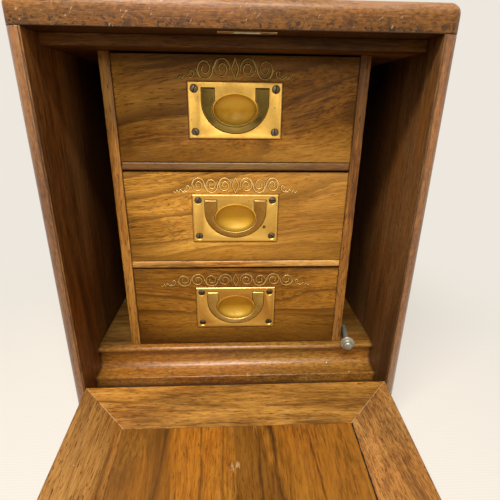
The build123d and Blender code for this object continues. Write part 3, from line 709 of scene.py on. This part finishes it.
# The top board's marks, with painted shade low down and a painted highlight on the upper arris.
TOP_MARKS_AND_PAINTED_LIGHT = (
    (painted_low_shade, (0.170, 0.064, 0.004)),
    (low_stain, (0.032, 0.013, 0.004)),
    (worn_upper_and_highlight, (0.40, 0.225, 0.13)),
    (knocks, (0.72, 0.52, 0.34)),
)
for number, node in enumerate(("top_board", "base_front", "base_board", "back_panel")):
    dress_board(node, "mahogany", (0.265, 0.103, 0.018), "X", 11.0 + number, 0.7, 3,
                marks=TOP_MARKS_AND_PAINTED_LIGHT if node == "top_board" else (), bands=0.35, warm=0.6, mottled=0.5, shine=0.3,
                polish=0.22, coat_rough=0.30, edge_wear=0.7, edge_width=1.4, scratched=0.5, dented=1.0)
for number, node in enumerate(("left_side", "right_side")):
    dress_board(node, "mahogany", (0.265, 0.105, 0.022), "Z", 17.0 + number, 0.6, 3, bands=0.4, mottled=0.25,
                warm=0.35, shine=0.4, polish=0.75, coat_rough=0.14, edge_width=1.2, scratched=0.4, dented=0.6)
print("outside dressed")

# %% [markdown]
# ## The inside of the case
# Everything inside is walnut, darker because the light hardly reaches it, and the linings get painted
# shade far inside; the left lining and the shelves carry lit and shaded tones as painted light. The
# shelves and the moulding have a polish that shows a line of light, and dirt, dust and painted shade
# gather round the moulding's foot.

# %% Dress the inside
LINING = (0.155, 0.066, 0.018)
# Painted light: the left lining is the same walnut as the right, given a lighter tone for the light that falls
# on it.
LININGS_WITH_PAINTED_LIGHT = {"left_lining": (0.25, 0.107, 0.028), "right_lining": LINING}
INSIDE = {
    "ceiling_board": (0.185, 0.082, 0.016), "floor_board": (0.145, 0.066, 0.012), "floor_bearers": LINING,
}
UPRIGHTS = {"left_upright": (0.36, 0.160, 0.026), "right_upright": (0.31, 0.135, 0.028)}
# Painted light: the lower shelf's bright tone and the upper shelf's dark tone stand for light and shade on the
# same walnut.
SHELVES_LIT_AND_SHADED = {"shelf_lower": ((0.66, 0.33, 0.066), 0.4), "shelf_upper": ((0.165, 0.073, 0.012), 0.20)}


# Painted shade: this mask darkens the linings deep inside the compartments.
def painted_deep_shade(place, x, y, z):
    """Painted shade: the linings are darker far inside, and the right one low down too."""
    low = spread(z, 190, 70) * spread(x, 0, 10, 0.0, 0.45)
    return highest(low, spread(y, -75, -10, 0.0, 0.8))


# Partly painted shade in the crease at the moulding's foot and in its end corners, partly dirt.
def foot_dirt_and_shade(place, x, y, z):
    """Darker along the moulding's foot and at its ends: dirt, with painted shade in the crease and corners, and
    dark specks above.
    """
    uneven = noise(place, 210.0, 3.0) * 3 + z
    low = spread(uneven, 37.5, 33.5, 0.0, 0.85)
    ends = spread(abs(x), 124.5, 127.6, 0.0, 0.8)
    specks = spread(noise(place, 700.0, 2.0), 0.52, 0.62) * spread(uneven, 46.0, 39.0, 0.0, 0.75)
    return highest(low, ends, specks)


def ledge_dust(place, x, y, z):
    """A few white specks caught on the ledge, most of them toward the right."""
    specks = dots(place, 170.0, (0.13, 0.07), (0.72, 0.76), channel=1)
    inside = spread(abs(z - 42), 6, 4)
    return specks * inside * spread(x, -60, 80, 0.25, 1.0)


for number, (node, mean) in enumerate(LININGS_WITH_PAINTED_LIGHT.items()):
    dress_board(node, "walnut", mean, "Z", 21.0 + number, 0.25, width=1.6, shine=0.25, edge_wear=0.6,
                marks=((painted_deep_shade, (0.050, 0.020, 0.005)),))
for number, (node, mean) in enumerate(INSIDE.items()):
    dress_board(node, "walnut", mean, "X", 25.0 + number, 0.5)
for number, (node, mean) in enumerate(UPRIGHTS.items()):
    dress_board(node, "walnut", mean, "Z", 31.0 + number, 0.5, pores=0.95, warm=0.25, shine=0.3,
                edge_wear=0.45, edge_width=0.6)
for number, (node, (mean, polish)) in enumerate(SHELVES_LIT_AND_SHADED.items()):
    dress_board(node, "walnut", mean, "X", 35.0 + number, 1.5, 4, bands=0.5, shine=0.4, polish=polish,
                edge_width=0.6)
dress_board("base_moulding", "walnut", (0.305, 0.130, 0.016), "X", 39.0, 0.4, mottled=0.45, shine=0.4,
            polish=1.0, coat_rough=0.34, bands=0.4, edge_wear=0.3,
            marks=((foot_dirt_and_shade, (0.030, 0.013, 0.004)), (ledge_dust, DUST_TONE)))

# %% [markdown]
# ## The drawers
# The fronts are cut from walnut with a lively figure, each board its own shade: the middle one is the
# lightest. Their streaks and growth rings fall a little from left to right, so their grain leans. Old
# wax has gathered round each handle's plate, with the plate's painted shadow. The first front also has
# a painted shadow under the top board and a painted pool of light toward its foot.

# %% Dress the drawers
PLATE_CENTRE_X, PLATE_TOPS, PLATE_HALVES = -1.4, {1: 287.9, 2: 204.4, 3: 120.9}, (35.0, 20.0)
DRAWER_WOOD = (0.36, 0.21, 0.095)
FRONTS = {
    1: ((0.39, 0.174, 0.024), 7.0, 0.4, 64.0),
    2: ((0.525, 0.250, 0.037), 5.0, 0.35, 67.0),
    3: ((0.295, 0.129, 0.0145), -3.0, 0.5, 90.0),
}
# On the first drawer the lighter foot is painted light, where the overhead lamp reaches.
FOOT_TONES_AND_LIGHT = {
    1: (236, 0.5, (0.70, 0.36, 0.07)),
    2: (156, 0.4, (0.80, 0.42, 0.07)),
    3: (84, 0.6, (0.11, 0.040, 0.003)),
}


def foot_tone_and_light(number):
    """Toward the foot: a painted pool of light on the first front, the board's own lighter tone on the second,
    darker on the third.
    """
    foot, amount, tone = FOOT_TONES_AND_LIGHT[number]

    def mask_of(place, x, y, z):
        uneven = noise(stretched(place, 0.12), 60.0, 3.0, 0.6) * 26 + z
        return spread(uneven, foot + 28, foot, 0.0, amount)

    return mask_of, tone


# Painted shadow: this mask darkens the top of the first drawer's front.
def painted_top_shadow(place, x, y, z):
    """Painted shadow: the first drawer's front is darkened just under the top board."""
    uneven = noise(stretched(place, 0.15), 90.0, 3.0, 0.6) * 10 + z
    return spread(uneven, 294, 308, 0.0, 0.6)


def right_shade(place, x, y, z):
    """The second front's board is a little darker toward its right."""
    return spread(x, -20, 45, 0.0, 0.5)


# Partly painted shadow: the dark outline round the proud plate.
def plate_dirt_and_shadow(number):
    """Old wax and dirt round the handle's plate, and the painted shadow of the proud plate."""
    middle_z = PLATE_TOPS[number] - PLATE_HALVES[1]

    def mask_of(place, x, y, z):
        middles = ((x, PLATE_CENTRE_X, PLATE_HALVES[0]), (z, middle_z, PLATE_HALVES[1]))
        away = highest(*(abs(at - middle) - half for at, middle, half in middles))
        return spread(noise(place, 240.0, 2.0) * 0.9 + away, 1.5, 0.8, 0.0, 0.6)

    return mask_of, GAP_TONE


# The first front's extra tone is painted shadow; the second's is its board's own darker right side.
TONES_AND_PAINTED_SHADOW = {1: [(painted_top_shadow, (0.12, 0.050, 0.006))], 2: [(right_shade, (0.30, 0.135, 0.024))], 3: []}
for number, (mean, lean, bands, seed) in FRONTS.items():
    marks = [foot_tone_and_light(number), *TONES_AND_PAINTED_SHADOW[number], plate_dirt_and_shadow(number)]
    dress_board(f"drawer_{number}_front", "walnut", mean, "X", seed, 0.45, marks=marks, lean=lean,
                wander=0.05, width=1.5, length=2.2, pores=0.7, bands=bands, ringed=0.7, warm=0.25,
                edge_wear=0.65, edge_width=0.7)
    for part, grain in (("left", "Y"), ("right", "Y"), ("back", "X"), ("bottom", "X")):
        dress_board(f"drawer_{number}_{part}", "wood", DRAWER_WOOD, grain, 51.0 + 5 * number, 0.3, 1,
                    bands=0.3, warm=0.2, edge_wear=0.3)
print("drawers dressed")

# %% [markdown]
# ## The fall front
# It lies open and slopes a little, so its boards' own axes are turned about X. The border's four
# strips meet in mitres with pale filler in them, each with its grain along its own length, and the
# field's grain runs from the hinge to the far edge, with a few strong dark streaks. The joint on the
# field's right has opened into a dark crack, and something has left a small pale scuff near the middle.

# %% Marks of the fall front
CRACK_X, CRACK_HALF = 86.6, 0.55
SCUFF_X, SCUFF_Y, SCUFF_RADIUS = -2.8, -190.4, 5.0
FIELD_STREAKS = (
    (22.0, -0.091, 3.0, 1.0), (13.6, 0.0, 1.5, 0.9), (-28.5, -0.05, 2.0, 0.6), (50.5, -0.08, 1.1, 0.7),
    (-53.0, 0.04, 1.5, 0.6), (-12.0, -0.02, 0.9, 0.45),
)
STREAKS_FROM_Y = -158.0


def crack_mask(place, x, y, z):
    """A dark line along the open joint, its width and depth uneven."""
    wide = abs(x - CRACK_X) - noise(place, 160.0, 2.0) * 1.2
    return spread(wide, CRACK_HALF - 0.2, CRACK_HALF - 0.9)


def scuff_mask(place, x, y, z):
    """A few pale strokes inside a small round patch."""
    inside = spread(distance(x - SCUFF_X, y - SCUFF_Y), SCUFF_RADIUS, SCUFF_RADIUS * 0.4)
    return inside * spread(noise(stretched(place, y=0.15), 700.0, 2.0), 0.50, 0.60, 0.0, 0.6)


def streak_mask(place, x, y, z):
    """The field's strongest dark streaks, each at its own place, slant, half width and depth."""
    uneven = noise(stretched(place, y=0.12), 300.0, 3.0, 0.65)
    bend = noise(place, 22.0, 1.0) * 5 - 2.5
    streaks = []
    for middle, slant, half, depth in FIELD_STREAKS:
        line = (y - STREAKS_FROM_Y) * slant + middle + bend
        off = uneven * (2.6 * half) + abs(x - line)
        streaks.append(spread(off, 2.4 * half, 1.1 * half, 0.0, depth))
    return highest(*streaks)


def mitre_mask(place, x, y, z):
    """Pale, broken filler along the four mitres, which run from the field's corners to the panel's."""
    inner, hinge_side, lock_side = (corners_of(f"flap_{n}") for n in ("field", "border_hinge", "border_lock"))
    field_x, near_y, panel_x, hinge_y = (v / MM for v in (*inner[1][:2], *hinge_side[1][:2]))
    far_y, lock_y = inner[0][1] / MM, lock_side[0][1] / MM
    outward = abs(x) - field_x
    mitres = []
    for corner_y, end_y in ((near_y, hinge_y), (far_y, lock_y)):
        slant = (end_y - corner_y) / (panel_x - field_x)
        mitres.append(spread(abs(y - corner_y - outward * slant), 0.50, 0.15))
    return highest(*mitres) * spread(noise(place, 160.0, 3.0), 0.38, 0.50, 0.0, 0.7)


def olive_side(place, x, y, z):
    """The field is cooler and darker toward its left."""
    return spread(noise(place, 18.0, 2.0) * 60 + x, 10, -50, 0.0, 0.45)


def red_side(place, x, y, z):
    """And it is redder toward its right, between the fibres."""
    right = spread(noise(place, 18.0, 2.0) * 30 + x, 40, 75)
    return right * spread(noise(stretched(place, y=0.10), 620.0, 3.0, 0.65), 0.38, 0.62, 0.10, 0.75)


print("marks ready:", len(FIELD_STREAKS), "streaks in the field")

# %% [markdown]
# Each board has its grain, its mean colour, the strength of its bands, its warmth, the slant of its
# grain, the width of its figure and its marks.

# %% Dress the fall front
FLAP_SLOPE = -5.813
MITRE, CRACK = (mitre_mask, (0.58, 0.38, 0.19)), (crack_mask, GAP_TONE)
FIELD_MARKS = (
    (olive_side, (0.16, 0.072, 0.010)),
    (red_side, (0.37, 0.142, 0.018)),
    (streak_mask, (0.050, 0.017, 0.003)),
    CRACK,
    (scuff_mask, (0.60, 0.42, 0.22)),
)
FLAP_BOARDS = {
    "flap_panel": ("X", (0.25, 0.102, 0.022), 0.4, 0.35, 0.0, 1.3, ()),
    "flap_field": ("Y", (0.285, 0.110, 0.010), 0.65, 0.65, 0.0, 2.3, FIELD_MARKS),
    "flap_border_hinge": ("X", (0.375, 0.172, 0.030), 0.8, 0.5, 2.0, 0.75, (MITRE,)),
    "flap_border_lock": ("X", (0.35, 0.152, 0.026), 0.35, 0.5, 0.0, 1.3, (MITRE,)),
    "flap_border_left": ("Y", (0.31, 0.138, 0.030), 0.5, 0.4, 0.0, 1.3, (MITRE,)),
    "flap_border_right": ("Y", (0.38, 0.180, 0.048), 0.7, 0.4, -8.0, 1.3, (MITRE, CRACK)),
}
FIELD_FIGURE, BORDER_FIGURE = (
    dict(zip(("wander", "ringed", "pores"), values)) for values in ((0.035, 0.45, 0.7), (0.02, 0.25, 0.9))
)
for number, (node, (grain, mean, bands, warm, lean, width, marks)) in enumerate(FLAP_BOARDS.items()):
    dress_board(node, "wood", mean, grain, 71.0 + 2 * number, 0.15, marks=marks, turn=FLAP_SLOPE, lean=lean,
                width=width, bands=bands, warm=warm, edge_width=0.45, dusty=0.4, shine=0.25,
                **(FIELD_FIGURE if node == "flap_field" else BORDER_FIGURE))
print("fall front dressed")

# %% [markdown]
# ## Inlaid scrolls
# Each drawer front carries a line of scrollwork over its handle, in thin brass wire tapped into a sawn
# groove, with a dark ribbon along it as the groove's painted shadow. It is a plain running scroll,
# mirrored about the middle, with a lozenge in the centre and a little wave and hook at each end. The
# strokes are rows of points in millimetres. A geometry node tree smooths them, sweeps a round profile
# along them and flattens the result, once wide and dark for the painted shadow and once narrow for the
# wire.

# %% Inlay tree


def grown(name, start_mesh, tree, values):
    """The mesh that a tree makes from a starting mesh and named values."""
    holder = new_object(f"{name}_start", start_mesh)
    grower = holder.modifiers.new("grower", "NODES")
    grower.node_group = tree
    for item in tree.interface.items_tree:
        if item.in_out == "INPUT" and item.name in values:
            grower[item.identifier] = values[item.name]
    seen = holder.evaluated_get(bpy.context.evaluated_depsgraph_get())
    mesh = bpy.data.meshes.new_from_object(seen)
    mesh.name = name
    holder.modifiers.remove(grower)
    bpy.data.objects.remove(holder)
    return mesh


inlay_tree, given, result = new_group(
    "Geometry", "inlay_line",
    {"Geometry": "Geometry", "Steps": 4, "Half width": 0.4 * MM, "Flatness": 0.3, "Plane": (0, 0, 0),
     "Material": "Material"},
    {"Geometry": "Geometry"},
)
path = take(inlay_tree, "GeometryNodeMeshToCurve", {0: given["Geometry"]})
path = take(inlay_tree, "GeometryNodeCurveSplineType", {0: path}, spline_type="CATMULL_ROM")
path = take(inlay_tree, "GeometryNodeSetSplineResolution", {"Geometry": path, "Resolution": given["Steps"]})
ring = take(inlay_tree, "GeometryNodeCurvePrimitiveCircle", {"Resolution": 6, "Radius": given["Half width"]})
sweep = {"Curve": path, "Profile Curve": ring, "Fill Caps": True}
swept = take(inlay_tree, "GeometryNodeCurveToMesh", sweep)
flat = take(inlay_tree, "ShaderNodeCombineXYZ", {0: 1.0, 1: given["Flatness"], 2: 1.0})
move = {"Geometry": swept, "Translation": given["Plane"], "Scale": flat}
laid = take(inlay_tree, "GeometryNodeTransform", move)
coated = take(inlay_tree, "GeometryNodeSetMaterial", {"Geometry": laid, "Material": given["Material"]})
plug(result, {"Geometry": take(inlay_tree, "GeometryNodeRealizeInstances", {0: coated})})
print("inlay_line has", len(inlay_tree.nodes), "nodes")

# %% [markdown]
# A stem waves along the middle of the band, and from every crest a tendril goes on turning until it has
# curled into the hollow beneath. Each drawer has its own number and width of waves, and its wire has
# its own tone; the darkest, on the first drawer, is painted shade under the top board.

# %% Draw and lay the scrolls
TENDRIL_STEPS, TENDRIL_START, TENDRIL_TURN = 24, 190.0, 600.0
END_WAVE = ((0.0, 0.4), (1.6, -0.6), (3.0, 1.3), (4.2, -0.4), (5.6, 1.9), (7.2, 0.3), (9.0, -0.2))
END_HOOK = ((8.4, 1.6), (10.2, 0.2), (12.2, 1.4), (12.8, 3.8), (11.4, 5.0), (10.2, 4.0), (10.8, 2.9))
LOZENGE = ((0.0, 0.0), (1.0, 0.2), (2.5, 0.5), (1.0, 0.8), (0.0, 1.0))
LINK = ((0.78, 0.43), (0.93, 0.20), (1.0, 0.0), (1.08, -0.24), (1.24, -0.43))
SCROLLS = {1: (2, 12.4, 14.2), 2: (3, 10.6, 12.2), 3: (4, 11.9, 11.6)}
DRAWER_FACE_Y, SCROLL_LIFT, SCROLL_START = -76.5, 1.4, 3.4
# The first drawer's darker wire is painted shade, for the shadow of the top board.
WIRE_TONES_LIT_AND_SHADED = {1: (0.42, 0.285, 0.075), 2: (0.88, 0.62, 0.23), 3: (0.70, 0.47, 0.15)}


def tendril(left, wave, height, side):
    """Over a crest and inward: side is 1 for an upward crest and -1 for a downward one."""
    points = []
    for step in range(TENDRIL_STEPS + 1):
        part = step / TENDRIL_STEPS
        angle = math.radians(TENDRIL_START - TENDRIL_TURN * part)
        size = min(1.0, 1.0 - 0.86 * (part - 0.16))
        points.append((left + wave / 2 + 0.47 * wave * size * math.cos(angle),
                       height / 2 + side * 0.48 * height * size * math.sin(angle)))
    return points


def scroll_strokes(waves, wave, height):
    """The right half's strokes from the centre outward, then their mirror image."""
    half = [[(x, z * height) for x, z in LOZENGE]]
    for i in range(waves):
        left, side = SCROLL_START + i * wave, (1, -1)[i % 2]
        half.append(tendril(left, wave, height, side))
        link = LINK if i < waves - 1 else LINK[:3]
        half.append([(left + x * wave, height / 2 + side * z * height) for x, z in link])
    outer = SCROLL_START + waves * wave + 14.6
    for stroke in (END_WAVE, END_HOOK):
        half.append([(outer - x, z + 0.8) for x, z in stroke])
    return half + [[(-x, z) for x, z in stroke] for stroke in half]


def stroke_mesh(name, strokes, middle, base):
    """The strokes as a mesh of points and edges in the plane Y = 0."""
    points, edges = [], []
    for stroke in strokes:
        edges += [(len(points) + i, len(points) + i + 1) for i in range(len(stroke) - 1)]
        points += [((middle + x) * MM, 0, (base + z) * MM) for x, z in stroke]
    mesh = bpy.data.meshes.new(name)
    mesh.from_pydata(points, edges, [])
    return mesh


# Painted shadow: a dark ribbon beside each wire stands for the groove's shade.
painted_groove_shadow = wood("painted_groove_shadow", (0.030, 0.012, 0.004), "X", ((-1, -1, -1), (1, 1, 1)), 5.0, bands=0.2)
for number, (waves, wave, height) in SCROLLS.items():
    strokes = scroll_strokes(waves, wave, height)
    tone = WIRE_TONES_LIT_AND_SHADED[number]
    wire_brass = metal(f"drawer_{number}_inlay_brass", tone, [share * 0.4 for share in tone], 12.0 + number,
                       0.5, stained=0.5)
    for part, half_width, depth, shift, slot, material in (
        ("groove", 0.66, 0.06, 0.14, "walnut", painted_groove_shadow), ("wire", 0.40, 0.10, 0.0, "brass", wire_brass),
    ):
        name = f"drawer_{number}_inlay_{part}"
        start = stroke_mesh(f"{name}_strokes", strokes, PLATE_CENTRE_X, PLATE_TOPS[number] + SCROLL_LIFT)
        values = {"Half width": half_width * MM, "Flatness": depth / half_width, "Material": material,
                  "Plane": (-shift * MM, DRAWER_FACE_Y * MM - 0.02 * MM, shift * MM)}
        piece = new_object(name, grown(name, start, inlay_tree, values))
        finish_piece(piece, f"drawer_{number}", slot, material)
    print("drawer", number, "inlay:", len(strokes), "strokes,", len(piece.data.polygons), "faces")

# %% [markdown]
# ## Slotted screws
# One domed, countersunk screw is turned as a lathe would, and its slot is pressed in: the faces between
# two parallel cuts are pushed down. The tree puts a copy on every screw place and turns each by a
# random amount, because no two slots line up on hand-driven screws.

# %% Screw and screw tree
SCREW_PROFILE = (
    (0.0, -0.34), (1.0, -0.29), (1.9, -0.14), (2.5, 0.06), (2.66, 0.24), (1.25, 1.7), (1.22, 7.6), (0.0, 8.9),
)
SCREW_SIDES = 14
SLOT_HALF, SLOT_DEPTH, HEAD_DEPTH = 0.33, 0.62, 0.06


def turned_screw(name):
    """A screw round the Y axis, its head toward -Y at the origin, in metres."""
    shape = bmesh.new()
    rings = []
    for radius, y in SCREW_PROFILE:
        turns = [2 * math.pi * (i + 0.5) / SCREW_SIDES for i in range(SCREW_SIDES if radius else 1)]
        rings.append([shape.verts.new((radius * math.cos(a), y, radius * math.sin(a))) for a in turns])
    for near, far in zip(rings, rings[1:]):
        for i in range(SCREW_SIDES):
            loop = [ring[turn % len(ring)] for ring, turn in ((near, i), (near, i + 1), (far, i + 1), (far, i))]
            shape.faces.new(list(dict.fromkeys(loop)))
    bmesh.ops.recalc_face_normals(shape, faces=shape.faces)
    for side in (-SLOT_HALF, SLOT_HALF):
        everything = shape.verts[:] + shape.edges[:] + shape.faces[:]
        bmesh.ops.bisect_plane(shape, geom=everything, plane_co=(0, 0, side), plane_no=(0, 0, 1))
    middles = [(face, face.calc_center_median()) for face in shape.faces]
    between = [face for face, at in middles if abs(at.z) < SLOT_HALF and at.y < HEAD_DEPTH]
    pushed = bmesh.ops.extrude_face_region(shape, geom=between)["geom"]
    bmesh.ops.delete(shape, geom=between, context="FACES")
    for vertex in (v for v in pushed if isinstance(v, bmesh.types.BMVert)):
        vertex.co.y += SLOT_DEPTH
    bmesh.ops.scale(shape, vec=(MM, MM, MM), verts=shape.verts)
    mesh = bpy.data.meshes.new(name)
    shape.to_mesh(mesh)
    shape.free()
    return new_object(name, mesh)


screw_tree, given, result = new_group(
    "Geometry", "screw_set",
    {"Geometry": "Geometry", "Screw": "Object", "Seed": 1, "Size": 1.0, "Material": "Material"},
    {"Geometry": "Geometry"},
)
source = take(screw_tree, "GeometryNodeObjectInfo", {"Object": given["Screw"]}, "Geometry")
limits = {0: (0, 0, 0), 1: (0, 2 * math.pi, 0), "Seed": given["Seed"]}
turn = take(screw_tree, "FunctionNodeRandomValue", limits, data_type="FLOAT_VECTOR")
copies = {"Points": given["Geometry"], "Instance": source, "Rotation": turn, "Scale": given["Size"]}
placed = take(screw_tree, "GeometryNodeInstanceOnPoints", copies)
real = take(screw_tree, "GeometryNodeRealizeInstances", {0: placed})
coated = take(screw_tree, "GeometryNodeSetMaterial", {"Geometry": real, "Material": given["Material"]})
plug(result, {"Geometry": coated})
print("screw_set has", len(screw_tree.nodes), "nodes")

# %% [markdown]
# The screw places come from the CAD model: a set of screws is one node, whose separate solids are told
# apart by walking along their edges.

# %% Drive the handle screws


def screw_places(node):
    """The middle of each screw's head, found from the separate solids of a CAD node."""
    shape = bmesh.new()
    shape.from_mesh(nodes[node].data)
    bmesh.ops.remove_doubles(shape, verts=shape.verts, dist=WELD)
    waiting, places = set(shape.verts), []
    while waiting:
        group, queue = [], [waiting.pop()]
        while queue:
            vertex = queue.pop()
            group.append(vertex.co.copy())
            for edge in vertex.link_edges:
                other = edge.other_vert(vertex)
                if other in waiting:
                    waiting.remove(other)
                    queue.append(other)
        low, high = box_of(group)
        places.append(((low[0] + high[0]) / 2, low[1], (low[2] + high[2]) / 2))
    shape.free()
    return sorted(places)


# Partly painted shade: darkens the slots and rims of the screw heads.
def slot_dirt_and_shade(place, x, y, z):
    """Dirt and painted shade in the slots and round the rims, just behind the heads."""
    return spread(y - screw_places("handle_1_screws")[0][1] / MM, 0.08, 0.24)


one_screw = turned_screw("one_screw")
handle_screw_metal = metal("handle_screw_steel", SCREW_STEEL, SCREW_STAIN, 2.5, 0.36, stained=0.5)
marked(handle_screw_metal, slot_dirt_and_shade, (0.012, 0.008, 0.005))
for number in (1, 2, 3):
    node = f"handle_{number}_screws"
    start, places = bpy.data.meshes.new(f"{node}_places"), screw_places(node)
    start.from_pydata(places, [], [])
    values = {"Screw": one_screw, "Seed": 4 + number, "Material": handle_screw_metal}
    piece = new_object(f"{node}_turned", grown(f"{node}_turned", start, screw_tree, values))
    finish_piece(piece, nodes[node]["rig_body"], "screw_steel", handle_screw_metal, node)
    print(node, len(places), "screws,", len(piece.data.polygons), "faces")
bpy.data.objects.remove(one_screw)

# %% [markdown]
# ## Handles, hinges, lock and the loose pin
# The castings keep their CAD shapes and get eased arrises. Each plate and bail has its own seed, so
# their stains differ as the real ones' do. The first bail is almost black and the third nearly bright,
# and all three are bare along the arrises and at the foot, where fingers lift them; that brightness is
# also a painted highlight.

# %% Dress the metalwork
PLATE_FRONT_Y, BOWL_DROP, BOWL_HALVES, SPOT = -77.5, 19.3, (17.1 * MM, 11.9 * MM), (22.4, 177.2)
BAILS = {
    1: ((0.115, 0.076, 0.017), (0.060, 0.036, 0.007), (0.33, 0.22, 0.055)),
    2: ((0.36, 0.180, 0.034), (0.13, 0.058, 0.011), (0.42, 0.25, 0.055)),
    3: ((0.58, 0.390, 0.100), (0.25, 0.150, 0.035), (0.72, 0.53, 0.19)),
}
OTHERS = (
    (hinge_metal, 0.15, ("hinge_case_leaves", "hinge_flap_leaves", "hinge_pins", "escutcheon")),
    (strike_metal, 0.15, ("strike_plate",)),
    (screw_metal, 0.1, ("hinge_case_screws", "hinge_flap_screws", "lock_screws")),
    (lock_metal, 0.2, ("lock_case", "lock_bolt")),
    (pin_metal, 0.3, ("loose_pin",)),
)


# Partly a painted highlight: brightens the faces that turn away from the front.
def bare_and_lit_arris(place, x, y, z):
    """The arrises turn away from the front; handling keeps them bright, and the brightness is partly a painted
    highlight.
    """
    facing = parts(own_place(place.tree, "Normal"))[1]
    return spread(abs(facing), 0.97, 0.86, 0.0, 0.8)


# Partly a painted highlight on the bail's low arc, partly wear.
def bail_foot_wear_and_highlight(top):
    """Fingers keep the bail's low arc bright, and it is partly a painted highlight."""
    def mask_of(place, x, y, z):
        uneven = noise(place, 170.0, 3.0, 0.6) * 9 + z
        return spread(uneven, top - 21, top - 31, 0.0, 0.8)

    return mask_of


def green_spot(place, x, y, z):
    """One spot where the brass has gone green."""
    away = distance(x - SPOT[0], z - SPOT[1]) - noise(place, 900.0, 3.0) * 1.6
    return spread(away, 1.0, 0.1, 0.0, 0.9)


for number, (tone, stain, foot_wear_and_highlight_tone) in BAILS.items():
    plate, bail, top = f"handle_{number}_plate", f"handle_{number}_bail", PLATE_TOPS[number]
    bowl_middle = (PLATE_CENTRE_X * MM, PLATE_FRONT_Y * MM, (top - BOWL_DROP) * MM)
    brass = metal(f"{plate}_brass", BRASS, BRASS_STAIN, 1.0 * number, 0.42, stained=0.35, lacquer=0.12,
                  corners=corners_of(plate), bowl=(bowl_middle, BOWL_HALVES))
    bronze = metal(f"{bail}_bronze", tone, stain, 3.0 * number, 0.42, stained=0.7)
    marked(bronze, bare_and_lit_arris, (0.74, 0.50, 0.16))
    marked(bronze, bail_foot_wear_and_highlight(top), foot_wear_and_highlight_tone)
    if number == 2:
        marked(brass, green_spot, (0.055, 0.060, 0.018))
    dress(plate, brass, 0.25)
    dress(bail, bronze, 0.2)
for material, ease, pieces in OTHERS:
    for node in pieces:
        dress(node, material, ease)
print("metalwork dressed")
